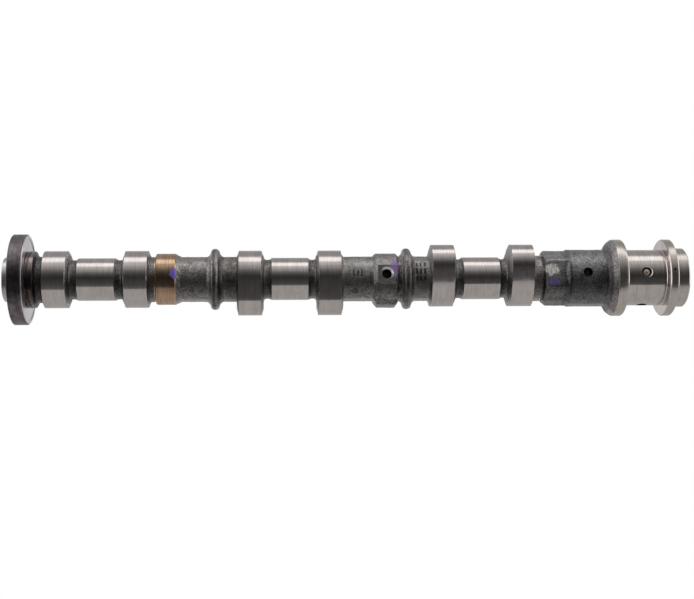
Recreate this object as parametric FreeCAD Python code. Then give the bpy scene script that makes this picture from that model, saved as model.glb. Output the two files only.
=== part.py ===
import FreeCAD, Part
import math
import os

# Overhead camshaft for one bank of a V6 engine. All sizes are in millimetres.
# The shaft is one chilled iron casting: three pairs of ground lobes, each pair with a small
# journal between its lobes, and a large front journal between two thrust flanges.
# A timing wheel with a bonded magnet ring is pressed on the rear end.
# The axis is X, with the drive nose at +X, and the origin is the centre of the front journal.
# An angle about the axis is in degrees, 0 along -Y and 90 along +Z.

# Places along the shaft
CYLINDER_PITCH = 108.6
FRONT_TO_NEXT_JOURNAL = 93.15
LOBE_OFFSET = 22.5
BAND_TO_REAR_JOURNAL = 39.1
REAR_RIB_TO_REAR_JOURNAL = 66.4
BOSS_TO_MIDDLE_JOURNAL = 54.3
HEXAGON_TO_FRONT_JOURNAL = 51.6
BARREL_HOLE_TO_FRONT_JOURNAL = 33.75
WHEEL_SEAT_TO_REAR_JOURNAL = 38.0

# Journals
FRONT_JOURNAL_RADIUS = 16.0
FRONT_JOURNAL_LENGTH = 23.5
JOURNAL_RADIUS = 12.0
JOURNAL_LENGTH = 20.8
JOURNAL_BEVEL = 1.2
GRINDING_RELIEF_WIDTH = 1.3
GRINDING_RELIEF_DEPTH = 0.4
GRINDING_RELIEF_CORNER = 0.5

# Lobes
LOBE_WIDTH = 12.8
LOBE_BASE_RADIUS = 16.1
LOBE_LIFT = 5.05
LOBE_NOSE_RADIUS = 12.3
LOBE_FLANK_RADIUS = 60.0
LOBE_SIDE_INSET = 4.0
LOBE_SIDE_SLOPE = 0.25
LOBE_ROOT_HEIGHT = 2.5
LOBE_ROOT_STEP = 0.3
LOBE_ROOT_ROUNDING = 1.8
REAR_LOBE_ANGLE = 169.8
FIRING_STEP = 120.0

# Cast shaft between the ground surfaces
CORE_RADIUS = 12.7
NECK_RADIUS = 11.0
CAST_ROUNDING = 1.5

# Turned band behind the rear pair of lobes
BAND_RADIUS = 14.5
BAND_WIDTH = 11.5
BAND_BEVEL = 0.5
BAND_TAPER = 2.7

# Cast ribs
RIB_RADIUS = 17.3
RIB_CREST_WIDTH = 3.5
RIB_FOOT_RADIUS = 14.2
RIB_FOOT_WIDTH = 5.3
RIB_ROOT_WIDTH = 8.4
RIB_CREST_ROUNDING = 2.2

# Boss with two flat pads
BOSS_RADIUS = 14.4
BOSS_LENGTH = 11.6
BOSS_END_SLOPE = 1.4
BOSS_EDGE_ROUNDING = 1.2
SIDE_PAD_HEIGHT = 14.5
UNDER_PAD_HEIGHT = 15.9
PAD_WIDTH = 9.4
PAD_SIDE_SLOPE = 0.6
PAD_END_BEVEL = 0.8
BOSS_TO_RIB_GAP = 0.5

# Hexagon for a wrench
HEXAGON_ACROSS_FLATS = 28.0
HEXAGON_CORNER_RADIUS = 15.8
HEXAGON_LENGTH = 11.8
HEXAGON_END_BEVEL = 1.6

# Round barrel behind the front journal
BARREL_RADIUS = 16.3

# Thrust flanges and drive nose
FLANGE_RADIUS = 22.0
REAR_FLANGE_WIDTH = 5.2
FRONT_FLANGE_WIDTH = 5.0
REAR_FLANGE_FLARE = 4.4
FLARE_SHOULDER_RADIUS = 20.0
FLARE_SHOULDER_SETBACK = 2.6
FLARE_ROUNDING = 3.0
FLANGE_BEVEL = 0.6
REAR_FLANGE_BEVEL_DEPTH = 0.35
NOSE_RADIUS = 16.85
NOSE_LENGTH = 7.9
NOSE_BEVEL = 0.7

# Rear end
COLLAR_RADIUS = 16.0
COLLAR_WIDTH = 4.0
COLLAR_FILLET_LENGTH = 1.2
REAR_NECK_RADIUS = 13.0
SPIGOT_RADIUS = 12.5
SPIGOT_PROUD = 5.3
SPIGOT_ROUNDING = 0.8
CENTRE_HOLE_RADIUS = 1.6
CENTRE_HOLE_DEPTH = 8.0
CENTRE_CONE_RADIUS = 4.0
CENTRE_CONE_ANGLE = 60.0

# Drillings
DATUM_ANGLE = 12.0
PAD_HOLE_RADIUS = 2.6
PAD_HOLE_DEPTH = 10.0
PAD_COUNTERSINK_RADIUS = 3.75
BARREL_HOLE_RADIUS = 2.65
BARREL_HOLE_DEPTH = 6.0
OIL_HOLE_RADIUS = 2.85
OIL_HOLE_COUNT = 4
PLUG_COUNTERSINK = 0.5
DRILL_POINT_ANGLE = 118.0
VALVE_BORE_RADIUS = 9.5
VALVE_BORE_DEPTH = 38.0
VALVE_THREAD_RADIUS = 8.0
VALVE_THREAD_DEPTH = 62.0
DOWEL_HOLE_RADIUS = 1.5
DOWEL_HOLE_DEPTH = 5.0
DOWEL_CIRCLE_RADIUS = 13.2
DOWEL_ANGLE = 102.0
RIM_MARK_RADIUS = 0.9
RIM_MARK_DEPTH = 0.7

# Ball plug in the oil hole at the datum angle
BALL_RECESS = 0.3

# Timing wheel
WHEEL_WIDTH = 8.1
WHEEL_RADIUS = 24.8
WHEEL_WEB = 3.0
WHEEL_RIM = 2.6
WHEEL_BEND = 1.2
WHEEL_BEVEL = 0.4
MAGNET_THICKNESS = 0.7
MAGNET_BEVEL = 0.3
MAGNET_SETBACK = 0.5

# Places worked out from the spacing
middle_journal = -FRONT_TO_NEXT_JOURNAL - CYLINDER_PITCH
journal_centres = [-FRONT_TO_NEXT_JOURNAL - CYLINDER_PITCH * step for step in (2, 1, 0)]
rear_journal = journal_centres[0]
wheel_seat = rear_journal - WHEEL_SEAT_TO_REAR_JOURNAL
rear_end = wheel_seat - WHEEL_WIDTH - SPIGOT_PROUD
band_centre = rear_journal + BAND_TO_REAR_JOURNAL
rear_rib = rear_journal + REAR_RIB_TO_REAR_JOURNAL
boss_centre = middle_journal + BOSS_TO_MIDDLE_JOURNAL
boss_front = boss_centre + BOSS_LENGTH / 2 + BOSS_END_SLOPE
front_rib = boss_front + BOSS_TO_RIB_GAP + RIB_ROOT_WIDTH / 2
hexagon_centre = -HEXAGON_TO_FRONT_JOURNAL
barrel_hole = -BARREL_HOLE_TO_FRONT_JOURNAL
front_shoulder = FRONT_JOURNAL_LENGTH / 2
nose_start = front_shoulder + FRONT_FLANGE_WIDTH
nose_end = nose_start + NOSE_LENGTH
lobe_half_width = LOBE_WIDTH / 2


def point(x, radius, angle=90.0):
    """Point at a place along the axis, at a radius and an angle about the axis."""
    turn = math.radians(angle)
    return FreeCAD.Vector(x, -radius * math.cos(turn), radius * math.sin(turn))


def rounded_outline(corners):
    """Closed flat wire through (x, radius, rounding) corners, with a tangent arc at each rounded one.

    A rounding is limited to what the two sides of its corner leave room for.
    """
    spots = [point(x, radius) for x, radius, rounding in corners]
    edges = []
    joints = []
    for index, (x, radius, rounding) in enumerate(corners):
        corner = spots[index]
        back = spots[index - 1] - corner
        ahead = spots[(index + 1) % len(spots)] - corner
        room = 0.49 * min(back.Length, ahead.Length)
        back.normalize()
        ahead.normalize()
        half_angle = back.getAngle(ahead) / 2
        tangent = min(rounding / math.tan(half_angle), room)
        if tangent < 0.01:
            joints.append((corner, corner))
            continue
        fitted = tangent * math.tan(half_angle)
        bisector = back + ahead
        bisector.normalize()
        crown = corner + bisector * (fitted / math.sin(half_angle) - fitted)
        joints.append((corner + back * tangent, corner + ahead * tangent))
        edges.append(Part.Arc(joints[-1][0], crown, joints[-1][1]).toShape())
    for (entry, leave), (next_entry, next_leave) in zip(joints, joints[1:] + joints[:1]):
        edges.append(Part.LineSegment(leave, next_entry).toShape())
    return Part.Wire(Part.__sortEdges__(edges))


def turned(corners):
    """Solid of revolution about the shaft's axis."""
    profile = Part.Face(rounded_outline(corners))
    return profile.revolve(point(0, 0), FreeCAD.Vector(1, 0, 0), 360)


def on_axis(corners):
    """The corners closed along the axis, for a body without a bore."""
    return [(corners[0][0], 0, 0)] + corners + [(corners[-1][0], 0, 0)]


def rear_end_corners():
    """Spigot that carries the timing wheel, its collar and the cast fillet in front of it."""
    collar_end = wheel_seat + COLLAR_WIDTH
    return [
        (rear_end, SPIGOT_RADIUS, SPIGOT_ROUNDING),
        (wheel_seat, SPIGOT_RADIUS, 0),
        (wheel_seat, COLLAR_RADIUS, 0),
        (collar_end, COLLAR_RADIUS, 0),
        (collar_end + COLLAR_FILLET_LENGTH, REAR_NECK_RADIUS, CAST_ROUNDING),
    ]


def lobe_root_corners(centre, rear_radius, front_radius):
    """Filleted foot of one lobe, between the cast shaft's radius behind it and in front of it."""
    foot_radius = LOBE_BASE_RADIUS - LOBE_ROOT_HEIGHT

    def half_width(radius):
        return lobe_half_width + (LOBE_BASE_RADIUS - radius) * LOBE_SIDE_SLOPE + LOBE_ROOT_STEP

    return [
        (centre - half_width(rear_radius), rear_radius, LOBE_ROOT_ROUNDING),
        (centre - half_width(foot_radius), foot_radius, 0),
        (centre + half_width(foot_radius), foot_radius, 0),
        (centre + half_width(front_radius), front_radius, LOBE_ROOT_ROUNDING),
    ]


def journal_corners(centre):
    """Small journal with its bevelled cast ends."""
    half = JOURNAL_LENGTH / 2
    return [
        (centre - half - JOURNAL_BEVEL, NECK_RADIUS, CAST_ROUNDING),
        (centre - half, JOURNAL_RADIUS, 0),
        (centre + half, JOURNAL_RADIUS, 0),
        (centre + half + JOURNAL_BEVEL, NECK_RADIUS, CAST_ROUNDING),
    ]


def lobe_pair_corners(centre, rear_radius, front_radius):
    """Two lobe roots with the journal between them."""
    rear_root = lobe_root_corners(centre - LOBE_OFFSET, rear_radius, NECK_RADIUS)
    front_root = lobe_root_corners(centre + LOBE_OFFSET, NECK_RADIUS, front_radius)
    return rear_root + journal_corners(centre) + front_root


def band_corners():
    """Turned band, which tapers into the cast shaft in front of it."""
    start = band_centre - BAND_WIDTH / 2
    end = band_centre + BAND_WIDTH / 2
    return [
        (start, CORE_RADIUS, CAST_ROUNDING),
        (start, BAND_RADIUS - BAND_BEVEL, 0),
        (start + BAND_BEVEL, BAND_RADIUS, 0),
        (end - BAND_BEVEL, BAND_RADIUS, 0),
        (end, BAND_RADIUS - BAND_BEVEL, 0),
        (end + BAND_TAPER, CORE_RADIUS, CAST_ROUNDING),
    ]


def rib_corners(centre):
    """Cast rib with a round crest and a stepped foot."""
    steps = [
        (RIB_ROOT_WIDTH / 2, CORE_RADIUS, CAST_ROUNDING),
        (RIB_FOOT_WIDTH / 2, RIB_FOOT_RADIUS, CAST_ROUNDING),
        (RIB_CREST_WIDTH / 2, RIB_RADIUS, RIB_CREST_ROUNDING),
    ]
    rear = [(centre - half, radius, rounding) for half, radius, rounding in steps]
    front = [(centre + half, radius, rounding) for half, radius, rounding in reversed(steps)]
    return rear + front


def boss_corners():
    """Round body of the boss, with sloping cast ends."""
    half = BOSS_LENGTH / 2
    return [
        (boss_centre - half - BOSS_END_SLOPE, CORE_RADIUS, CAST_ROUNDING),
        (boss_centre - half, BOSS_RADIUS, BOSS_EDGE_ROUNDING),
        (boss_centre + half, BOSS_RADIUS, BOSS_EDGE_ROUNDING),
        (boss_front, CORE_RADIUS, CAST_ROUNDING),
    ]


def barrel_corners():
    """Neck under the hexagon and the round barrel up to the rear thrust flange."""
    flat = HEXAGON_ACROSS_FLATS / 2
    flats_start = hexagon_centre - HEXAGON_LENGTH / 2
    flats_end = hexagon_centre + HEXAGON_LENGTH / 2
    flange_start = -front_shoulder - REAR_FLANGE_WIDTH
    return [
        (flats_start - HEXAGON_END_BEVEL, REAR_NECK_RADIUS, CAST_ROUNDING),
        (flats_start, flat - HEXAGON_END_BEVEL, 0),
        (flats_end - HEXAGON_END_BEVEL, flat - HEXAGON_END_BEVEL, 0),
        (flats_end + BARREL_RADIUS - flat, BARREL_RADIUS, 0),
        (flange_start - REAR_FLANGE_FLARE, BARREL_RADIUS, CAST_ROUNDING),
        (flange_start - FLARE_SHOULDER_SETBACK, FLARE_SHOULDER_RADIUS, FLARE_ROUNDING),
        (flange_start, FLANGE_RADIUS, CAST_ROUNDING),
    ]


def front_bearing_corners():
    """Thrust flanges with the large journal and its grinding relief between them."""
    relief_start = front_shoulder - GRINDING_RELIEF_WIDTH
    relief_radius = FRONT_JOURNAL_RADIUS - GRINDING_RELIEF_DEPTH
    return [
        (-front_shoulder - FLANGE_BEVEL, FLANGE_RADIUS, 0),
        (-front_shoulder, FLANGE_RADIUS - REAR_FLANGE_BEVEL_DEPTH, 0),
        (-front_shoulder, FRONT_JOURNAL_RADIUS, 0),
        (relief_start, FRONT_JOURNAL_RADIUS, 0),
        (relief_start + GRINDING_RELIEF_DEPTH, relief_radius, 0),
        (front_shoulder - GRINDING_RELIEF_CORNER, relief_radius, 0),
        (front_shoulder, relief_radius + GRINDING_RELIEF_CORNER, 0),
        (front_shoulder, FLANGE_RADIUS - FLANGE_BEVEL, 0),
        (front_shoulder + FLANGE_BEVEL, FLANGE_RADIUS, 0),
        (nose_start - FLANGE_BEVEL, FLANGE_RADIUS, 0),
        (nose_start, FLANGE_RADIUS - FLANGE_BEVEL, 0),
        (nose_start, NOSE_RADIUS, 0),
        (nose_end - NOSE_BEVEL, NOSE_RADIUS, 0),
        (nose_end, NOSE_RADIUS - NOSE_BEVEL, 0),
    ]


def shaft_body():
    """Everything that is round about the axis, as one solid of revolution."""
    rear, middle, front = journal_centres
    corners = rear_end_corners()
    corners += lobe_pair_corners(rear, REAR_NECK_RADIUS, CORE_RADIUS)
    corners += band_corners()
    corners += rib_corners(rear_rib)
    corners += lobe_pair_corners(middle, CORE_RADIUS, CORE_RADIUS)
    corners += boss_corners()
    corners += rib_corners(front_rib)
    corners += lobe_pair_corners(front, CORE_RADIUS, REAR_NECK_RADIUS)
    corners += barrel_corners()
    corners += front_bearing_corners()
    return turned(on_axis(corners))


def cam_outline(x, inset):
    """Cam outline in the plane at x, its nose along +Z, moved inwards by the inset.

    Four tangent arcs: the base circle, the nose circle and a flank on each side.
    """
    base = LOBE_BASE_RADIUS - inset
    nose = LOBE_NOSE_RADIUS - inset
    flank = LOBE_FLANK_RADIUS - inset
    nose_height = LOBE_BASE_RADIUS + LOBE_LIFT - LOBE_NOSE_RADIUS
    reach = LOBE_FLANK_RADIUS - LOBE_BASE_RADIUS
    nose_reach = LOBE_FLANK_RADIUS - LOBE_NOSE_RADIUS
    centre_height = (reach ** 2 - nose_reach ** 2 + nose_height ** 2) / (2 * nose_height)
    centre_offset = math.sqrt(reach ** 2 - centre_height ** 2)
    axis = FreeCAD.Vector(x, 0, 0)
    nose_centre = FreeCAD.Vector(x, 0, nose_height)

    def flank_arc(side):
        """Start on the base circle, crown and end on the nose circle."""
        centre = FreeCAD.Vector(x, -side * centre_offset, centre_height)
        to_base = (axis - centre).normalize()
        to_nose = (nose_centre - centre).normalize()
        crown = (to_base + to_nose).normalize()
        return axis + to_base * base, centre + crown * flank, nose_centre + to_nose * nose

    left_base, left_crown, left_nose = flank_arc(-1)
    right_base, right_crown, right_nose = flank_arc(1)
    heel = FreeCAD.Vector(x, 0, -base)
    tip = FreeCAD.Vector(x, 0, nose_height + nose)
    arcs = [
        Part.Arc(right_base, right_crown, right_nose),
        Part.Arc(right_nose, tip, left_nose),
        Part.Arc(left_nose, left_crown, left_base),
        Part.Arc(left_base, heel, right_base),
    ]
    return Part.Wire([arc.toShape() for arc in arcs])


def lobe(centre, angle):
    """One lobe with its ground width and its sloping cast sides, the nose at the angle."""
    side = LOBE_SIDE_INSET * LOBE_SIDE_SLOPE
    sections = [
        cam_outline(centre - lobe_half_width - side, LOBE_SIDE_INSET),
        cam_outline(centre - lobe_half_width, 0),
        cam_outline(centre + lobe_half_width, 0),
        cam_outline(centre + lobe_half_width + side, LOBE_SIDE_INSET),
    ]
    solid = Part.makeLoft(sections, True, True)
    solid.rotate(FreeCAD.Vector(centre, 0, 0), FreeCAD.Vector(1, 0, 0), 90 - angle)
    return solid


def lobes():
    """The six lobes: both of a pair share an angle, and the pairs are a firing step apart."""
    solids = []
    for pair, centre in enumerate(journal_centres):
        angle = REAR_LOBE_ANGLE + FIRING_STEP * pair
        solids.append(lobe(centre - LOBE_OFFSET, angle))
        solids.append(lobe(centre + LOBE_OFFSET, angle))
    return solids


def pad(height, angle):
    """Flat pad on the boss, with sloping sides and ends, its face at the height."""
    foot = CORE_RADIUS
    half_top = PAD_WIDTH / 2
    half_foot = half_top + (height - foot) * PAD_SIDE_SLOPE
    half_length = BOSS_LENGTH / 2
    foot_reach = half_length + BOSS_END_SLOPE
    section = [
        FreeCAD.Vector(boss_centre - foot_reach, y, z)
        for y, z in [(-half_foot, 0), (-half_foot, foot), (-half_top, height),
                     (half_top, height), (half_foot, foot), (half_foot, 0)]
    ]
    side_view = [
        FreeCAD.Vector(boss_centre + x, -half_foot, z)
        for x, z in [(-foot_reach, 0), (-foot_reach, foot), (-half_length, height - PAD_END_BEVEL),
                     (PAD_END_BEVEL - half_length, height), (half_length - PAD_END_BEVEL, height),
                     (half_length, height - PAD_END_BEVEL), (foot_reach, foot), (foot_reach, 0)]
    ]
    across = Part.Face(Part.makePolygon(section + section[:1]))
    along = Part.Face(Part.makePolygon(side_view + side_view[:1]))
    solid = across.extrude(FreeCAD.Vector(2 * foot_reach, 0, 0))
    solid = solid.common(along.extrude(FreeCAD.Vector(0, 2 * half_foot, 0)))
    solid.rotate(FreeCAD.Vector(boss_centre, 0, 0), FreeCAD.Vector(1, 0, 0), 90 - angle)
    return solid


def hexagon():
    """Wrench hexagon with turned corners, one flat at the datum angle.

    Its rear end is bevelled, and its corners run on into the slope of the barrel.
    """
    flat = HEXAGON_ACROSS_FLATS / 2
    start = hexagon_centre - HEXAGON_LENGTH / 2
    end = hexagon_centre + HEXAGON_LENGTH / 2 + HEXAGON_CORNER_RADIUS - flat
    corner_reach = flat / math.cos(math.radians(30))
    corners = [point(start, corner_reach, DATUM_ANGLE + 30 + 60 * step) for step in range(7)]
    prism = Part.Face(Part.makePolygon(corners)).extrude(FreeCAD.Vector(end - start, 0, 0))
    envelope = turned(on_axis([
        (start, HEXAGON_CORNER_RADIUS - HEXAGON_END_BEVEL, 0),
        (start + HEXAGON_END_BEVEL, HEXAGON_CORNER_RADIUS, CAST_ROUNDING),
        (end, HEXAGON_CORNER_RADIUS, 0),
    ]))
    return prism.common(envelope)


def drilling(x, mouth_radius, angle, radius, depth):
    """Blind drilled hole that enters across the axis, with the cone of the drill's point."""
    inward = point(0, 1, angle) * -1
    overrun = 2.0
    point_length = radius / math.tan(math.radians(DRILL_POINT_ANGLE / 2))
    mouth = point(x, mouth_radius, angle)
    bottom = mouth + inward * depth
    shank = Part.makeCylinder(radius, depth + overrun, mouth - inward * overrun, inward)
    tip = Part.makeCone(radius, 0, point_length, bottom, inward)
    return shank.fuse(tip)


def pad_hole():
    """Countersunk locating hole in the side pad."""
    inward = point(0, 1, DATUM_ANGLE) * -1
    countersink_depth = PAD_COUNTERSINK_RADIUS - PAD_HOLE_RADIUS
    mouth = point(boss_centre, SIDE_PAD_HEIGHT, DATUM_ANGLE)
    sink = Part.makeCone(PAD_COUNTERSINK_RADIUS, PAD_HOLE_RADIUS, countersink_depth, mouth, inward)
    hole = drilling(boss_centre, SIDE_PAD_HEIGHT, DATUM_ANGLE, PAD_HOLE_RADIUS, PAD_HOLE_DEPTH)
    return hole.fuse(sink)


def oil_holes():
    """Cross holes of the front journal, which feed the valve bore."""
    outward = [DATUM_ANGLE + 360 / OIL_HOLE_COUNT * step for step in range(OIL_HOLE_COUNT)]
    return [
        Part.makeCylinder(OIL_HOLE_RADIUS, FLANGE_RADIUS, point(0, 0), point(0, 1, angle))
        for angle in outward
    ]


def plug_countersink():
    """Small countersink on the oil hole that the ball closes."""
    inward = point(0, 1, DATUM_ANGLE) * -1
    mouth = point(0, FRONT_JOURNAL_RADIUS, DATUM_ANGLE)
    wide = OIL_HOLE_RADIUS + PLUG_COUNTERSINK
    return Part.makeCone(wide, OIL_HOLE_RADIUS, PLUG_COUNTERSINK, mouth, inward)


def valve_bore():
    """Stepped bore from the nose, with a bevelled mouth and the drill's point at its end."""
    bore_end = nose_end - VALVE_BORE_DEPTH
    thread_end = nose_end - VALVE_THREAD_DEPTH
    tip = thread_end - VALVE_THREAD_RADIUS / math.tan(math.radians(DRILL_POINT_ANGLE / 2))
    return turned([
        (tip, 0, 0),
        (thread_end, VALVE_THREAD_RADIUS, 0),
        (bore_end, VALVE_THREAD_RADIUS, 0),
        (bore_end, VALVE_BORE_RADIUS, 0),
        (nose_end - NOSE_BEVEL, VALVE_BORE_RADIUS, 0),
        (nose_end, VALVE_BORE_RADIUS + NOSE_BEVEL, 0),
        (nose_end, 0, 0),
    ])


def dowel_hole():
    """Blind hole in the nose's end that sets the angle of the drive wheel."""
    mouth = point(nose_end, DOWEL_CIRCLE_RADIUS, DOWEL_ANGLE)
    return Part.makeCylinder(DOWEL_HOLE_RADIUS, DOWEL_HOLE_DEPTH, mouth, FreeCAD.Vector(-1, 0, 0))


def centre_hole():
    """Grinding centre in the rear end of the spigot."""
    half_angle = math.radians(CENTRE_CONE_ANGLE / 2)
    cone_depth = (CENTRE_CONE_RADIUS - CENTRE_HOLE_RADIUS) / math.tan(half_angle)
    return turned([
        (rear_end, 0, 0),
        (rear_end, CENTRE_CONE_RADIUS, 0),
        (rear_end + cone_depth, CENTRE_HOLE_RADIUS, 0),
        (rear_end + CENTRE_HOLE_DEPTH, CENTRE_HOLE_RADIUS, 0),
        (rear_end + CENTRE_HOLE_DEPTH, 0, 0),
    ])


def rim_mark():
    """Shallow drilled assembly mark on the front thrust flange."""
    middle = front_shoulder + FRONT_FLANGE_WIDTH / 2
    return drilling(middle, FLANGE_RADIUS, DATUM_ANGLE, RIM_MARK_RADIUS, RIM_MARK_DEPTH)


def camshaft():
    """The casting with its ground surfaces and drillings, as one solid."""
    raised = lobes() + [
        pad(SIDE_PAD_HEIGHT, DATUM_ANGLE),
        pad(UNDER_PAD_HEIGHT, DATUM_ANGLE - 90),
        hexagon(),
    ]
    barrel = drilling(barrel_hole, BARREL_RADIUS, DATUM_ANGLE, BARREL_HOLE_RADIUS, BARREL_HOLE_DEPTH)
    cuts = oil_holes() + [pad_hole(), barrel, rim_mark(), plug_countersink()]
    cuts += [valve_bore(), dowel_hole(), centre_hole()]
    return shaft_body().fuse(raised).cut(cuts).removeSplitter()


def ball_plug():
    """Steel ball that closes the oil hole at the datum angle, just under the journal's surface."""
    centre_radius = FRONT_JOURNAL_RADIUS - BALL_RECESS - OIL_HOLE_RADIUS
    return Part.makeSphere(OIL_HOLE_RADIUS, point(0, centre_radius, DATUM_ANGLE))


def timing_wheel():
    """Pressed steel wheel: a web against the collar and a rim turned back over the spigot."""
    rim_start = wheel_seat - WHEEL_WIDTH
    web_start = wheel_seat - WHEEL_WEB
    rim_inside = WHEEL_RADIUS - WHEEL_RIM
    return turned([
        (web_start, SPIGOT_RADIUS, 0),
        (web_start, rim_inside, WHEEL_BEND),
        (rim_start, rim_inside, 0),
        (rim_start, WHEEL_RADIUS, 0),
        (wheel_seat - WHEEL_BEVEL, WHEEL_RADIUS, 0),
        (wheel_seat, WHEEL_RADIUS - WHEEL_BEVEL, 0),
        (wheel_seat, SPIGOT_RADIUS, 0),
    ])


def magnet_ring():
    """Magnetic rubber ring bonded to the wheel's rim, a little short of its front edge."""
    ring_start = wheel_seat - WHEEL_WIDTH
    ring_end = wheel_seat - MAGNET_SETBACK
    outside = WHEEL_RADIUS + MAGNET_THICKNESS
    return turned([
        (ring_start, WHEEL_RADIUS, 0),
        (ring_start, outside - MAGNET_BEVEL, 0),
        (ring_start + MAGNET_BEVEL, outside, 0),
        (ring_end - MAGNET_BEVEL, outside, 0),
        (ring_end, outside - MAGNET_BEVEL, 0),
        (ring_end, WHEEL_RADIUS, 0),
    ])


def main():
    """Build each piece and write it to its own file."""
    pieces = {
        "camshaft": camshaft(),
        "ball_plug": ball_plug(),
        "timing_wheel": timing_wheel(),
        "magnet_ring": magnet_ring(),
    }
    os.makedirs("parts", exist_ok=True)
    for name, shape in pieces.items():
        shape.exportStep(os.path.join("parts", name + ".step"))
        box = shape.BoundBox
        print(
            f"{name}: valid {shape.isValid()}, solids {len(shape.Solids)}, volume {shape.Volume:.1f},"
            f" x {box.XMin:.2f} to {box.XMax:.2f}"
        )


main()
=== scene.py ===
"""Looks of an overhead camshaft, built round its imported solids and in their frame.

Lengths are in millimetres until a mesh is made, when they become metres. An angle about the
shaft's axis is in degrees, 0 along -Y and 90 along +Z.
"""

import logging
import math
from dataclasses import dataclass
from enum import Enum

import bmesh
import bpy
import numpy as np
from mathutils import Matrix, Vector, noise


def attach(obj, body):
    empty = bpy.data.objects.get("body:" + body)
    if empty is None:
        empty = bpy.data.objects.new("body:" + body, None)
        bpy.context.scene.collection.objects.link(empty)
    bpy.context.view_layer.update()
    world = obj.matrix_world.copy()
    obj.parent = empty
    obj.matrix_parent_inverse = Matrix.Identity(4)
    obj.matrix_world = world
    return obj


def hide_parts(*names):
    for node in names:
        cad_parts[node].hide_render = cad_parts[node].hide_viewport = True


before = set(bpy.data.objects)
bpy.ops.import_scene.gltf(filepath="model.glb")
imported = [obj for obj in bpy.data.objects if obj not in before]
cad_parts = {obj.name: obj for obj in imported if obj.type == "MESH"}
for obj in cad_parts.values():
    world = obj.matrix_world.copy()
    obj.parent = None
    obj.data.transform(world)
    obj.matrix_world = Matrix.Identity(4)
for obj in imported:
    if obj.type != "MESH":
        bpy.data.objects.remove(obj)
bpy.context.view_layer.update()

LOG = logging.getLogger("camshaft")
METRES = 0.001
FULL_TURN = 360.0
QUARTER_TURN = FULL_TURN / 4
BLACK = (0.0, 0.0, 0.0)
WHITE = (1.0, 1.0, 1.0)
Colour = tuple[float, float, float]


class Zone(Enum):
    """Finishes that a stretch of skin can have."""

    CAST = "cast_skin"
    FLARE = "cast_flare"
    GROUND = "ground_iron"
    BEARING = "bearing_iron"
    BAND = "tinted_band"
    COLLAR = "turned_collar"
    SPIGOT = "turned_spigot"
    DRILLED = "drilled_wall"
    SINK = "countersink"
    THREAD = "cut_thread"
    RIM = "turned_rim"
    MILLED = "milled_pad"
    PRESSED = "pressed_steel"
    RUBBER = "magnet_rubber"
    BALL = "bearing_ball"


@dataclass(frozen=True)
class Corner:
    """Corner of a turned outline. The zone is that of the stretch that follows it."""

    x: float
    radius: float
    zone: Zone = Zone.CAST
    rounding: float = 0.0


def stretch(zone: Zone, *spots: tuple[float, ...]) -> list[Corner]:
    """Corners of one zone, each a place, a radius and its rounding where it has one."""
    return [Corner(x, radius, zone, *rounding) for x, radius, *rounding in spots]


def rounded(corners: list[Corner], coarse: float, fine: float) -> list[Corner]:
    """Divide an outline into short stretches, with its rounded corners as arcs.

    Args:
        corners: the outline's corners in order.
        coarse: longest stretch on a machined surface.
        fine: longest stretch on a cast surface.

    Returns:
        The outline as corners without roundings.
    """
    joints, nearly_half, slack = [], 0.49, 0.01
    for index, corner in enumerate(corners):
        spot = Vector((corner.x, corner.radius))
        if corner.rounding == 0 or index in (0, len(corners) - 1):
            joints.append([spot])
            continue
        back = Vector((corners[index - 1].x, corners[index - 1].radius)) - spot
        ahead = Vector((corners[index + 1].x, corners[index + 1].radius)) - spot
        room = nearly_half * min(back.length, ahead.length)
        half_angle = back.angle(ahead) / 2
        tangent = min(corner.rounding / math.tan(half_angle), room)
        start = spot + back.normalized() * tangent
        end = spot + ahead.normalized() * tangent
        count = max(2, math.ceil(tangent / fine * 2))
        shares = [step / count for step in range(count + 1)]
        joints.append([
            start * (1 - share) ** 2 + spot * 2 * share * (1 - share) + end * share ** 2 for share in shares
        ])
    spots = []
    for index, corner in enumerate(corners):
        spots += [Corner(place.x, place.y, corner.zone) for place in joints[index]]
        if index == len(corners) - 1:
            break
        start, end = joints[index][-1], joints[index + 1][0]
        longest = fine if corner.zone is Zone.CAST else coarse
        count = math.ceil((end - start).length / longest - slack)
        for step in range(1, count):
            place = start.lerp(end, step / count)
            spots.append(Corner(place.x, place.y, corner.zone))
    return spots


def angles_from(datum: float, angles: np.ndarray) -> np.ndarray:
    """Angles measured from a datum, up to half a turn to either side."""
    return (angles - datum + FULL_TURN / 2) % FULL_TURN - FULL_TURN / 2


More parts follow.
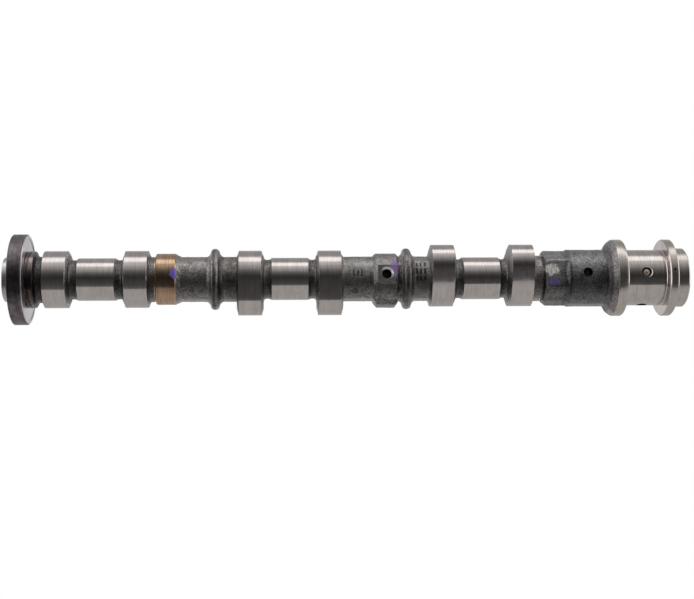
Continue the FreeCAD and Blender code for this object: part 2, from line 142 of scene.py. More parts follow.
@dataclass(frozen=True)
class Lobe:
    """Ground cam lobe with sloping cast sides: a base circle, two flanks and a nose circle."""

    centre: float
    nose_angle: float
    width: float = 12.8
    base: float = 16.1
    lift: float = 5.05
    nose: float = 12.3
    flank: float = 60.0
    side_inset: float = 4.0
    side_slope: float = 0.25
    edge_break: float = 0.12
    inner_rings: tuple[float, ...] = (1.5, 3.5)

    def stations(self) -> list[float]:
        """Places along the shaft where the lobe's skin needs a ring.

        Returns:
            Places along the shaft, in millimetres.
        """
        half = self.width / 2
        side = self.side_inset * self.side_slope
        shares = (0.0, 0.12, 0.25, 0.375, 0.5, 0.625, 0.75, 0.875, 0.998, 1.002)
        offsets = [half + side * share for share in shares]
        offsets += [half - depth for depth in (self.edge_break, *self.inner_rings)]
        return [self.centre + sign * offset for offset in offsets for sign in (-1, 1)] + [self.centre]

    def reach(self, x: np.ndarray, angles: np.ndarray) -> np.ndarray:
        """Radius of the lobe's skin.

        Args:
            x: places along the shaft, one for each ring.
            angles: angles of the columns.

        Returns:
            Radii as rings by columns, 0 where the lobe isn't.
        """
        away = np.abs(x - self.centre) - self.width / 2
        inset = np.clip(away + self.edge_break, 0, self.edge_break)
        sloping = np.minimum(self.edge_break + away / self.side_slope, self.side_inset)
        inset = np.where(away > 0, sloping, inset)
        outline = self.outline(inset[:, None], angles[None, :])
        present = away <= self.side_inset * self.side_slope
        return np.where(present[:, None], outline, 0.0)

    def outline(self, inset: np.ndarray, angles: np.ndarray) -> np.ndarray:
        """Radius of the cam outline.

        Args:
            inset: how far the outline is moved inwards.
            angles: angles about the shaft.

        Returns:
            Radii in the shape that the two arguments make together.
        """
        turn = np.radians(np.abs(angles_from(self.nose_angle, angles)))
        nose_height = self.base + self.lift - self.nose
        near, far = self.flank - self.base, self.flank - self.nose
        height = (near ** 2 - far ** 2 + nose_height ** 2) / (2 * nose_height)
        offset = math.sqrt(near ** 2 - height ** 2)
        base_turn = math.atan2(offset, -height)
        nose = self.nose - inset
        nose_turn = np.arctan2(offset / far * nose, nose_height + (nose_height - height) / far * nose)
        on_nose = nose_height * np.cos(turn) + np.sqrt(
            np.maximum(nose ** 2 - (nose_height * np.sin(turn)) ** 2, 0)
        )
        along = height * np.cos(turn) - offset * np.sin(turn)
        on_flank = along + np.sqrt(along ** 2 - near ** 2 + (self.flank - inset) ** 2)
        return np.where(turn <= nose_turn, on_nose, np.where(turn < base_turn, on_flank, self.base - inset))

    def covers(self, x: float) -> bool:
        """Whether the ground width is at this place."""
        return abs(x - self.centre) < self.width / 2 - self.edge_break / 2


@dataclass(frozen=True)
class Hexagon:
    """Wrench hexagon with turned corners, which runs out into the slope of the barrel."""

    datum: float
    centre: float = -51.6
    across_flats: float = 28.0
    corner_radius: float = 15.8
    length: float = 11.8
    end_bevel: float = 1.6
    sides: int = 6

    @property
    def start(self) -> float:
        """Place of the rear end."""
        return self.centre - self.length / 2

    @property
    def flats_end(self) -> float:
        """Place of the front end of the flats."""
        return self.centre + self.length / 2

    @property
    def end(self) -> float:
        """Place where the corners meet the barrel's slope."""
        return self.flats_end + self.corner_radius - self.across_flats / 2

    def stations(self) -> list[float]:
        """Places along the shaft where the hexagon's skin needs a ring."""
        return [self.start - 0.002, self.start + 0.002, self.start + self.end_bevel, self.end]

    def special_angles(self) -> list[float]:
        """Angles where a flat meets a turned corner.

        Returns:
            Angles in degrees, two for each flat.
        """
        half = math.degrees(math.acos(self.across_flats / 2 / self.corner_radius))
        step = FULL_TURN / self.sides
        return [self.datum + step * side + sign * half for side in range(self.sides) for sign in (-1, 1)]

    def reach(self, x: np.ndarray, angles: np.ndarray) -> np.ndarray:
        """Radius of the hexagon's skin, as rings by columns.

        Args:
            x: places along the shaft, one for each ring.
            angles: angles of the columns.

        Returns:
            Radii as rings by columns, 0 where it isn't.
        """
        step = FULL_TURN / self.sides
        turn = np.radians((angles - self.datum + step / 2) % step - step / 2)
        flats = self.across_flats / 2 / np.cos(turn)
        grown = np.clip((x - self.start) / self.end_bevel, 0, 1)
        corner = self.corner_radius - self.end_bevel * (1 - grown) ** 1.5
        present = (x >= self.start) & (x <= self.end)
        return np.where(present[:, None], np.minimum(flats[None, :], corner[:, None]), 0.0)


@dataclass(frozen=True)
class Pad:
    """Flat pad on the boss, with sloping sides and ends."""

    centre: float
    angle: float
    height: float
    width: float = 9.4
    foot: float = 12.7
    side_slope: float = 0.6
    half_length: float = 5.8
    end_slope: float = 1.4
    end_bevel: float = 0.8

    def stations(self) -> list[float]:
        """Places along the shaft where the pad's skin needs a ring."""
        offsets = (self.half_length - self.end_bevel, self.half_length, self.half_length + self.end_slope)
        return [self.centre + sign * offset for offset in offsets for sign in (-1, 1)]

    def special_angles(self) -> list[float]:
        """Angles of the pad's long edges."""
        half = math.degrees(math.atan(self.width / 2 / self.height))
        return [self.angle - half, self.angle + half]

    def reach(self, x: np.ndarray, angles: np.ndarray) -> np.ndarray:
        """Radius of the pad's skin, as rings by columns.

        Args:
            x: places along the shaft, one for each ring.
            angles: angles of the columns.

        Returns:
            Radii as rings by columns, 0 where it isn't.
        """
        away = np.abs(x - self.centre)
        places = [self.half_length - self.end_bevel, self.half_length, self.half_length + self.end_slope]
        top = np.interp(away, places, [self.height, self.height - self.end_bevel, self.foot])
        turn = np.radians(angles_from(self.angle, angles))
        facing = np.cos(turn) > 0.5
        across = np.where(facing, np.abs(np.sin(turn)), 0)
        up = np.where(facing, np.cos(turn), 1)
        side = (self.width / 2 + self.height * self.side_slope) / (across + up * self.side_slope)
        skin = np.minimum(top[:, None] / up[None, :], side[None, :])
        present = (away <= places[-1])[:, None] & facing[None, :]
        return np.where(present, skin, 0.0)


@dataclass(frozen=True)
class Drill:
    """Drilling that is cut out of the shaft: its mouth, its way in and its stepped outline."""

    mouth: Vector
    inward: Vector
    steps: tuple[tuple[float, float], ...]
    sunk: bool = False
    columns: int = 48

    def cutter(self, name: str) -> bpy.types.Object:
        """Make the closed solid that the drill sweeps.

        Args:
            name: name of the new object.

        Returns:
            The cutter, with its points in place.
        """
        inward = self.inward.normalized()
        aside = inward.orthogonal().normalized()
        beside = inward.cross(aside)
        turns = [math.tau * step / self.columns for step in range(self.columns)]
        outline = [(self.steps[0][0], 0.0)] + list(self.steps) + [(self.steps[-1][0], 0.0)]
        rings = [
            [
                self.mouth + inward * depth + (aside * math.cos(turn) + beside * math.sin(turn)) * radius
                for turn in turns
            ]
            for depth, radius in outline
        ]
        zones = [Zone.DRILLED] * (len(rings) - 1)
        if self.sunk:
            zones[1] = Zone.SINK
        return skin(name, np.array(rings), zones, [Zone.DRILLED, Zone.SINK])


def material(zone: Zone) -> bpy.types.Material:
    """The zone's material, made when it is first asked for."""
    return bpy.data.materials.get(zone.value) or bpy.data.materials.new(zone.value)


def linked(name: str, data: bpy.types.ID) -> bpy.types.Object:
    """New object with the data, linked to the scene.

    Args:
        name: name of the object.
        data: its mesh or camera.

    Returns:
        The object, in the scene.
    """
    made = bpy.data.objects.new(name, data)
    bpy.context.scene.collection.objects.link(made)
    return made


def skin(name: str, rings: np.ndarray, zones: list[Zone], palette: list[Zone]) -> bpy.types.Object:
    """Make an object from rings of points, joined into a closed skin.

    Args:
        name: name of the new object.
        rings: points in millimetres, as rings by columns by three.
        zones: finish of each strip from one ring to the next.
        palette: the finishes that the object uses, in slot order.

    Returns:
        The object, linked to the scene, with a material slot for each finish.
    """
    count, columns, _ = rings.shape
    index = np.arange(count * columns).reshape(count, columns)
    here, beside = index[:-1], np.roll(index[:-1], -1, axis=1)
    ahead, across = index[1:], np.roll(index[1:], -1, axis=1)
    quads = np.stack([here, ahead, across, beside], axis=-1).reshape(-1, 4)
    mesh = bpy.data.meshes.new(name)
    mesh.from_pydata((rings.reshape(-1, 3) * METRES).tolist(), [], quads.tolist())
    slots = np.repeat([palette.index(zone) for zone in zones], columns).astype(np.int32)
    mesh.polygons.foreach_set("material_index", slots)
    sliver = 4e-6
    shape = bmesh.new()
    shape.from_mesh(mesh)
    bmesh.ops.remove_doubles(shape, verts=shape.verts, dist=sliver)
    bmesh.ops.recalc_face_normals(shape, faces=shape.faces)
    shape.to_mesh(mesh)
    shape.free()
    for zone in palette:
        mesh.materials.append(material(zone))
    return linked(name, mesh)


def smooth(piece: bpy.types.Object, sharp_angle: float = 32.0) -> None:
    """Shade a piece smooth, apart from its sharp edges.

    Args:
        piece: the piece.
        sharp_angle: least angle of an edge that stays sharp.
    """
    mesh = piece.data
    mesh.polygons.foreach_set("use_smooth", np.ones(len(mesh.polygons), bool))
    mesh.set_sharp_from_angle(angle=math.radians(sharp_angle))
    mesh.update()


def place(x: float, radius: float, angle: float) -> Vector:
    """Point at a place along the axis, at a radius and an angle about it, in millimetres."""
    turn = math.radians(angle)
    return Vector((x, -radius * math.cos(turn), radius * math.sin(turn)))


def turned(spots: list[Corner], angles: np.ndarray) -> tuple[np.ndarray, np.ndarray]:
    """Place of each ring of a turned skin, and its radius in each column."""
    return np.array([spot.x for spot in spots]), np.tile([[spot.radius] for spot in spots], len(angles))


def lathe(x: np.ndarray, radii: np.ndarray, angles: np.ndarray) -> np.ndarray:
    """Points on rings about the axis, as rings by columns by three.

    Args:
        x: places along the shaft, one for each ring.
        radii: radii, as rings by columns.
        angles: angles of the columns.

    Returns:
        Points, as rings by columns by three.
    """
    turn = np.radians(angles)
    along = np.broadcast_to(x[:, None], radii.shape)
    return np.stack([along, -radii * np.cos(turn), radii * np.sin(turn)], axis=-1)


@dataclass
class ShaftCasting:
    """The iron casting: its turned outline, lobes, boss, hexagon, drillings and cast skin."""

    cylinder_pitch: float = 108.6
    front_to_next_journal: float = 93.15
    lobe_offset: float = 22.5
    wheel_seat_to_rear_journal: float = 38.0
    datum: float = 12.0
    rear_lobe_angle: float = 169.8
    firing_step: float = 120.0
    core_radius: float = 12.7
    neck_radius: float = 11.0
    end_neck_radius: float = 13.0
    cast_rounding: float = 1.5
    column_count: int = 128
    cast_step: float = 0.7
    ground_step: float = 3.0
    journal_radius: float = 12.0
    journal_length: float = 20.8
    journal_bevel: float = 1.2
    lobe_root_height: float = 2.5
    lobe_root_step: float = 0.3
    lobe_root_rounding: float = 1.8
    band_to_rear_journal: float = 39.1
    band_radius: float = 14.5
    band_width: float = 11.5
    band_bevel: float = 0.5
    band_taper: float = 2.7
    rib_radius: float = 17.3
    rib_crest: float = 3.5
    rib_crest_rounding: float = 2.2
    rib_foot_radius: float = 14.2
    rib_foot: float = 5.3
    rib_root: float = 8.4
    rear_rib_to_rear_journal: float = 66.4
    boss_to_middle_journal: float = 54.3
    boss_radius: float = 14.4
    boss_length: float = 11.6
    boss_end_slope: float = 1.4
    boss_edge_rounding: float = 1.2
    boss_to_rib_gap: float = 0.5
    side_pad_height: float = 14.5
    under_pad_height: float = 15.9
    barrel_radius: float = 16.3
    barrel_hole_to_front_journal: float = 33.75
    barrel_edge_rounding: float = 0.5
    flange_radius: float = 22.0
    rear_flange_width: float = 5.2
    front_flange_width: float = 5.0
    flange_flare: float = 4.4
    flare_shoulder_radius: float = 20.0
    flare_shoulder_setback: float = 2.6
    flare_rounding: float = 3.0
    flange_bevel: float = 0.6
    rear_flange_bevel_depth: float = 0.35
    front_journal_radius: float = 16.0
    front_journal_length: float = 23.5
    relief_width: float = 1.3
    relief_depth: float = 0.4
    relief_corner: float = 0.5
    nose_radius: float = 16.85
    nose_length: float = 7.9
    nose_bevel: float = 0.7
    valve_bore_radius: float = 9.5
    valve_bore_depth: float = 38.0
    thread_radius: float = 8.0
    thread_depth: float = 62.0
    drill_point_angle: float = 59.0
    dowel_circle_radius: float = 13.2
    collar_radius: float = 16.0
    collar_width: float = 4.0
    collar_fillet: float = 1.2
    wheel_width: float = 8.1
    spigot_radius: float = 12.5
    spigot_proud: float = 5.3
    spigot_rounding: float = 0.8
    centre_hole_radius: float = 1.6
    centre_hole_depth: float = 8.0
    centre_cone_radius: float = 4.0
    oil_hole_radius: float = 2.85
    plug_countersink: float = 0.5
    edge_break: float = 0.12
    parting_ridge_height: float = 0.22
    parting_ridge_half_width: float = 0.8
    lump_height: float = 0.10
    lump_size: float = 4.5
    grain_height: float = 0.055
    grain_size: float = 1.1
    casting_drop: float = 0.15
    dimple_to_boss: float = 17.9
    dimple_angle: float = -33.0
    dimple_half_length: float = 1.5
    dimple_half_width: float = 1.2
    dimple_depth: float = 0.5

    @property
    def journals(self) -> list[float]:
        """Centres of the small journals, from the rear."""
        return [-self.front_to_next_journal - self.cylinder_pitch * step for step in (2, 1, 0)]

    @property
    def wheel_seat(self) -> float:
        """Place of the collar's rear face, which the timing wheel stands against."""
        return self.journals[0] - self.wheel_seat_to_rear_journal

    @property
    def front_shoulder(self) -> float:
        """Place of the front thrust flange's inner face."""
        return self.front_journal_length / 2

    @property
    def nose_end(self) -> float:
        """Place of the drive nose's end face."""
        return self.front_shoulder + self.front_flange_width + self.nose_length

    @property
    def boss_centre(self) -> float:
        """Middle of the boss."""
        return self.journals[1] + self.boss_to_middle_journal

    @property
    def front_rib(self) -> float:
        """Middle of the rib in front of the boss."""
        boss_foot = self.boss_centre + self.boss_length / 2 + self.boss_end_slope
        return boss_foot + self.boss_to_rib_gap + self.rib_root / 2

    @property
    def rear_rib(self) -> float:
        """Middle of the rib in front of the band."""
        return self.journals[0] + self.rear_rib_to_rear_journal

    @property
    def band_centre(self) -> float:
        """Middle of the turned band."""
        return self.journals[0] + self.band_to_rear_journal

    @property
    def flare_foot(self) -> float:
        """Place where the barrel starts to flare into the rear flange."""
        return -self.front_shoulder - self.rear_flange_width - self.flange_flare

    @property
    def hexagon(self) -> Hexagon:
        """The hexagon behind the barrel."""
        return Hexagon(self.datum)

    def lobes(self) -> list[Lobe]:
        """The six lobes, in pairs that share an angle.

        Returns:
            The lobes, from the rear to the front.
        """
        found = []
        for pair, centre in enumerate(self.journals):
            angle = self.rear_lobe_angle + self.firing_step * pair
            for side in (-1, 1):
                found.append(Lobe(centre + side * self.lobe_offset, angle))
        return found

    def pads(self) -> list[Pad]:
        """The side pad at the datum angle and the one under it.

        Returns:
            The two pads.
        """
        return [
            Pad(self.boss_centre, self.datum, self.side_pad_height),
            Pad(self.boss_centre, self.datum - QUARTER_TURN, self.under_pad_height),
        ]

    def rear_corners(self) -> list[Corner]:
        """Grinding centre, spigot, collar and the cast fillet in front of it.

        Returns:
            Corners of the outline up to the rear neck.
        """
        seat, chamfer, collar = self.wheel_seat, self.edge_break, self.collar_radius
        end = seat - self.wheel_width - self.spigot_proud
        hole, hole_end = self.centre_hole_radius, end + self.centre_hole_depth
        cone = (self.centre_cone_radius - hole) * math.sqrt(3)
        collar_end = seat + self.collar_width
        fillet = (collar_end + self.collar_fillet, self.end_neck_radius, self.cast_rounding)
        return [
            *stretch(Zone.DRILLED, (hole_end, 0), (hole_end, hole), (end + cone, hole)),
            *stretch(Zone.SPIGOT, (end, self.centre_cone_radius),
                     (end, self.spigot_radius, self.spigot_rounding)),
            *stretch(Zone.COLLAR, (seat, self.spigot_radius), (seat, collar - chamfer),
                     (seat + chamfer, collar), (collar_end - chamfer, collar)),
            *stretch(Zone.CAST, (collar_end, collar - chamfer), fillet),
        ]

    def root_corners(self, lobe: Lobe, rear_radius: float, front_radius: float) -> list[Corner]:
        """Filleted foot of one lobe, between the shaft's radius behind it and in front of it.

        Args:
            lobe: the lobe.
            rear_radius: radius of the shaft behind it.
            front_radius: radius of the shaft in front of it.

        Returns:
            Corners of the outline, from the rear to the front.
        """
        foot, rounding = lobe.base - self.lobe_root_height, self.lobe_root_rounding

        def half_width(radius: float) -> float:
            """Half the foot's width at a radius."""
            return lobe.width / 2 + (lobe.base - radius) * lobe.side_slope + self.lobe_root_step

        return stretch(
            Zone.CAST,
            (lobe.centre - half_width(rear_radius), rear_radius, rounding),
            (lobe.centre - half_width(foot), foot), (lobe.centre + half_width(foot), foot),
            (lobe.centre + half_width(front_radius), front_radius, rounding),
        )

    def journal_corners(self, centre: float) -> list[Corner]:
        """Small journal with its bevelled cast ends.

        Args:
            centre: place of the journal's middle.

        Returns:
            Corners of the outline, from the rear to the front.
        """
        start, end = centre - self.journal_length / 2, centre + self.journal_length / 2
        neck, rounding = self.neck_radius, self.cast_rounding
        radius, chamfer = self.journal_radius, self.edge_break
        return [
            *stretch(Zone.CAST, (start - self.journal_bevel, neck, rounding)),
            *stretch(Zone.GROUND, (start, radius - chamfer), (start + chamfer, radius),
                     (end - chamfer, radius)),
            *stretch(Zone.CAST, (end, radius - chamfer), (end + self.journal_bevel, neck, rounding)),
        ]

    def pair_corners(self, pair: int, rear_radius: float, front_radius: float) -> list[Corner]:
        """Two lobe roots with the journal between them.

        Args:
            pair: number of the pair, 0 at the rear.
            rear_radius: radius of the shaft behind the pair.
            front_radius: radius of the shaft in front of it.

        Returns:
            Corners of the outline, from the rear to the front.
        """
        rear, front = self.lobes()[2 * pair:2 * pair + 2]
        neck = self.neck_radius
        return [
            *self.root_corners(rear, rear_radius, neck),
            *self.journal_corners(self.journals[pair]),
            *self.root_corners(front, neck, front_radius),
        ]

    def band_corners(self) -> list[Corner]:
        """Turned band, which tapers into the cast shaft in front of it.

        Returns:
            Corners of the outline, from the rear to the front.
        """
        start, end = self.band_centre - self.band_width / 2, self.band_centre + self.band_width / 2
        core, rounding = self.core_radius, self.cast_rounding
        radius, bevel = self.band_radius, self.band_bevel
        return [
            *stretch(Zone.BAND, (start, core, rounding), (start, radius - bevel), (start + bevel, radius),
                     (end - bevel, radius)),
            *stretch(Zone.CAST, (end, radius - bevel), (end + self.band_taper, core, rounding)),
        ]

    def rib_corners(self, centre: float) -> list[Corner]:
        """Cast rib with a round crest and a stepped foot.

        Args:
            centre: place of the rib's middle.

        Returns:
            Corners of the outline, from the rear to the front.
        """
        rounding = self.cast_rounding
        steps = [
            (self.rib_root / 2, self.core_radius, rounding),
            (self.rib_foot / 2, self.rib_foot_radius, rounding),
            (self.rib_crest / 2, self.rib_radius, self.rib_crest_rounding),
        ]
        rear = [(centre - half, radius, curve) for half, radius, curve in steps]
        front = [(centre + half, radius, curve) for half, radius, curve in reversed(steps)]
        return stretch(Zone.CAST, *rear, *front)

    def boss_corners(self) -> list[Corner]:
        """Round body of the boss, and the rib in front of it.

        Returns:
            Corners of the outline, from the rear to the front.
        """
        half, slope, edge = self.boss_length / 2, self.boss_end_slope, self.boss_edge_rounding
        start, end = self.boss_centre - half, self.boss_centre + half
        core, rounding = self.core_radius, self.cast_rounding
        boss = stretch(Zone.CAST, (start - slope, core, rounding), (start, self.boss_radius, edge),
                       (end, self.boss_radius, edge), (end + slope, core, rounding))
        return boss + self.rib_corners(self.front_rib)

    def front_corners(self) -> list[Corner]:
        """Neck under the hexagon, barrel, thrust flanges with the large journal, and drive nose.

        Returns:
            Corners of the outline from the neck under the hexagon on.
        """
        hexagon = self.hexagon
        flat = hexagon.across_flats / 2
        within = flat - hexagon.end_bevel
        flats_end = hexagon.flats_end
        shoulder, bevel, rounding = self.front_shoulder, self.flange_bevel, self.cast_rounding
        start, relief = -shoulder - self.rear_flange_width, shoulder - self.relief_width
        nose_start = shoulder + self.front_flange_width
        barrel, flange = self.barrel_radius, self.flange_radius
        journal, nose = self.front_journal_radius, self.nose_radius
        relief_radius = journal - self.relief_depth
        return [
            *stretch(Zone.CAST, (hexagon.start - hexagon.end_bevel, self.end_neck_radius, rounding),
                     (hexagon.start, within), (flats_end - hexagon.end_bevel, within),
                     (flats_end + barrel - flat, barrel, self.barrel_edge_rounding)),
            *stretch(Zone.FLARE, (self.flare_foot, barrel, rounding),
                     (start - self.flare_shoulder_setback, self.flare_shoulder_radius, self.flare_rounding)),
            *stretch(Zone.RIM, (start, flange, rounding)),
            *stretch(Zone.BEARING, (-shoulder - bevel, flange),
                     (-shoulder, flange - self.rear_flange_bevel_depth), (-shoulder, journal),
                     (relief, journal), (relief + self.relief_depth, relief_radius),
                     (shoulder - self.relief_corner, relief_radius),
                     (shoulder, relief_radius + self.relief_corner), (shoulder, flange - bevel)),
            *stretch(Zone.RIM, (shoulder + bevel, flange)),
            *stretch(Zone.BEARING, (nose_start - bevel, flange), (nose_start, flange - bevel)),
            *stretch(Zone.RIM, (nose_start, nose)),
            *stretch(Zone.BEARING, (self.nose_end - self.nose_bevel, nose),
                     (self.nose_end, nose - self.nose_bevel)),
        ]

    def bore_corners(self) -> list[Corner]:
        """Stepped and threaded bore, from its mouth to the cone of the drill's point.

        Returns:
            Corners of the outline, from the nose's face inwards.
        """
        bore, thread, bevel = self.valve_bore_radius, self.thread_radius, self.nose_bevel
        end = self.nose_end
        step, thread_end = end - self.valve_bore_depth, end - self.thread_depth
        tip = thread_end - thread / math.tan(math.radians(self.drill_point_angle))
        return [
            *stretch(Zone.DRILLED, (end, bore + bevel), (end - bevel, bore), (step, bore)),
            *stretch(Zone.THREAD, (step, thread)),
            *stretch(Zone.DRILLED, (thread_end, thread), (tip, 0)),
        ]

    def outline(self) -> list[Corner]:
        """The outside of the shaft, from the grinding centre to the drive nose.

        Returns:
            Corners of the outline, from the rear to the front.
        """
        core, end_neck = self.core_radius, self.end_neck_radius
        return [
            *self.rear_corners(), *self.pair_corners(0, end_neck, core), *self.band_corners(),
            *self.rib_corners(self.rear_rib), *self.pair_corners(1, core, core), *self.boss_corners(),
            *self.pair_corners(2, core, end_neck), *self.front_corners(),
        ]

    def columns(self, special: list[float]) -> np.ndarray:
        """Angles of the columns, with the nearest one moved to each special angle.

        Args:
            special: angles that need a column of their own.

        Returns:
            Angles in degrees, in rising order.
        """
        angles = np.arange(self.column_count) * FULL_TURN / self.column_count
        for angle in special:
            away = angles_from(angle, angles)
            nearest = int(np.argmin(np.abs(away)))
            angles[nearest] -= away[nearest]
        return angles

    def build(self) -> bpy.types.Object:
        """Make the casting's skin and cut its drillings.

        Returns:
            The finished piece.
        """
        features = [*self.lobes(), *self.pads(), self.hexagon]
        stations = sorted(place for feature in features for place in feature.stations())
        edged = (self.hexagon, *self.pads())
        angles = self.columns([angle for feature in edged for angle in feature.special_angles()])
        outside = rounded(self.outline(), self.ground_step, self.cast_step)
        outside = self.with_stations(outside, stations)
        inside = rounded(self.bore_corners(), self.ground_step, self.cast_step)
        x, radii = turned(outside + inside, angles)
        count = len(outside)
        for feature in features:
            radii[:count] = np.maximum(radii[:count], feature.reach(x[:count], angles))
        zones = self.strip_zones(outside) + [spot.zone for spot in inside[:-1]]
        palette = [Zone.CAST, Zone.GROUND, Zone.BEARING, Zone.BAND, Zone.COLLAR, Zone.SPIGOT, Zone.DRILLED,
                   Zone.THREAD, Zone.RIM, Zone.MILLED, Zone.FLARE]
        piece = skin("camshaft_casting", lathe(x, radii, angles), zones, palette)
        self.mill_pad(piece, palette.index(Zone.MILLED))
        self.roughen(piece, {palette.index(Zone.CAST), palette.index(Zone.FLARE)})
        self.drill(piece)
        smooth(piece)
        return piece

    def with_stations(self, spots: list[Corner], stations: list[float]) -> list[Corner]:
        """The outline with a spot added wherever a station falls on one of its stretches.

        Args:
            spots: the outline.
            stations: places that need a ring.

        Returns:
            The outline with the spots added.
        """
        found = []
        apart = 1e-4
        for spot, after in zip(spots, spots[1:]):
            found.append(spot)
            for station in stations:
                if spot.x + apart < station < after.x - apart:
                    share = (station - spot.x) / (after.x - spot.x)
                    radius = spot.radius + (after.radius - spot.radius) * share
                    found.append(Corner(station, radius, spot.zone))
        return found + [spots[-1]]

    def strip_zones(self, spots: list[Corner]) -> list[Zone]:
        """Finish of each strip of the outside, and of the end face that leads to the bore.

        Args:
            spots: the outline.

        Returns:
            One finish for each strip between two rings.
        """
        lobes = self.lobes()
        zones = []
        for spot, after in zip(spots, spots[1:]):
            middle = (spot.x + after.x) / 2
            ground = any(lobe.covers(middle) for lobe in lobes)
            zones.append(Zone.GROUND if ground else spot.zone)
        return zones + [Zone.BEARING]

    def mill_pad(self, piece: bpy.types.Object, slot: int) -> None:
        """Give the side pad's flat its milled finish.

        Args:
            piece: the casting.
            slot: number of the milled material.
        """
        pad = self.pads()[0]
        outward, flat_enough = place(0, 1, pad.angle), 0.999
        for face in piece.data.polygons:
            within = abs(face.center.x / METRES - pad.centre) < pad.half_length - pad.end_bevel
            if within and face.normal.dot(outward) > flat_enough:
                face.material_index = slot

    def roughen(self, piece: bpy.types.Object, cast_slots: set[int]) -> None:
        """Give the skin in the cast slots its lumps, grain, parting ridges and dimple.

        Args:
            piece: the casting before its drillings.
            cast_slots: material slots whose faces are rough.
        """
        mesh = piece.data
        count = len(mesh.vertices)
        points = np.empty(count * 3, np.float32)
        mesh.vertices.foreach_get("co", points)
        points = points.reshape(-1, 3) / METRES
        normals = np.empty(count * 3, np.float32)
        mesh.vertex_normals.foreach_get("vector", normals)
        normals = normals.reshape(-1, 3)
        cast = np.ones(count, bool)
        for face in mesh.polygons:
            if face.material_index not in cast_slots:
                cast[list(face.vertices)] = False
        chosen = np.flatnonzero(cast)
        angle = np.degrees(np.arctan2(points[:, 2], -points[:, 1]))
        radius = np.hypot(points[:, 1], points[:, 2])
        lift = np.zeros(count)
        for index in chosen:
            spot = Vector(points[index])
            lift[index] = self.lump_height * noise.noise(spot / self.lump_size)
            lift[index] += self.grain_height * noise.noise(spot / self.grain_size)
        for ridge in (self.datum - QUARTER_TURN, self.datum + QUARTER_TURN):
            away = np.radians(np.abs(angles_from(ridge, angle))) * radius
            lift += self.parting_ridge_height * np.clip(1.6 - away / self.parting_ridge_half_width, 0, 1)
        along = (points[:, 0] - (self.boss_centre - self.dimple_to_boss)) / self.dimple_half_length
        across = np.radians(angles_from(self.dimple_angle, angle)) * radius / self.dimple_half_width
        lift -= self.dimple_depth * np.clip(1.5 - np.hypot(along, across), 0, 1)
        moved = points + normals * lift[:, None] - np.array([0, 0, self.casting_drop])
        points[chosen] = moved[chosen]
        mesh.vertices.foreach_set("co", (points * METRES).astype(np.float32).ravel())
        mesh.update()

    def drillings(self) -> list[Drill]:
        """Every drilling that enters across the axis or beside it.

        Returns:
            The drillings, in the order in which they are cut.
        """
        datum = self.datum
        # Each step of a drilling is a depth under its mouth and a radius.
        pad_hole = ((-2.0, 5.75), (1.15, 2.6), (10.0, 2.6), (11.56, 0.0))
        barrel_hole = ((-2.0, 2.65), (6.0, 2.65), (7.59, 0.0))
        mark = ((-1.0, 0.9), (0.7, 0.9), (1.2, 0.0))
        dowel = ((-1.0, 1.5), (5.0, 1.5))
        radius, overrun, sink = self.oil_hole_radius, 2.0, self.plug_countersink
        oil = ((-overrun, radius), (self.front_journal_radius / 2, radius))
        plugged = ((-overrun, radius + sink + overrun), (sink, radius), oil[-1])
        flange_middle = self.front_shoulder + self.front_flange_width / 2
        drills = [
            Drill(place(self.boss_centre, self.side_pad_height, datum), -place(0, 1, datum), pad_hole, True),
            Drill(place(-self.barrel_hole_to_front_journal, self.barrel_radius, datum), -place(0, 1, datum),
                  barrel_hole),
            Drill(place(flange_middle, self.flange_radius, datum), -place(0, 1, datum), mark),
            Drill(place(self.nose_end, self.dowel_circle_radius, datum + QUARTER_TURN), Vector((-1, 0, 0)),
                  dowel),
        ]
        for step in range(4):
            angle = datum + QUARTER_TURN * step
            outline = oil if step else plugged
            mouth, inward = place(0, self.front_journal_radius, angle), -place(0, 1, angle)
            drills.append(Drill(mouth, inward, outline, step == 0))
        return drills

    def drill(self, piece: bpy.types.Object) -> None:
        """Cut every drilling out of the casting.

        Args:
            piece: the casting, whose mesh is replaced by the drilled one.
        """
        for number, drill in enumerate(self.drillings()):
            cutter = drill.cutter(f"cutter_{number}")
            cut = piece.modifiers.new(cutter.name, "BOOLEAN")
            cut.operation = "DIFFERENCE"
            cut.solver = "EXACT"
            cut.material_mode = "TRANSFER"
            cut.object = cutter
        graph = bpy.context.evaluated_depsgraph_get()
        finished = bpy.data.meshes.new_from_object(piece.evaluated_get(graph))
        for cut in list(piece.modifiers):
            cutter = cut.object
            piece.modifiers.remove(cut)
            bpy.data.objects.remove(cutter)
        piece.data = finished


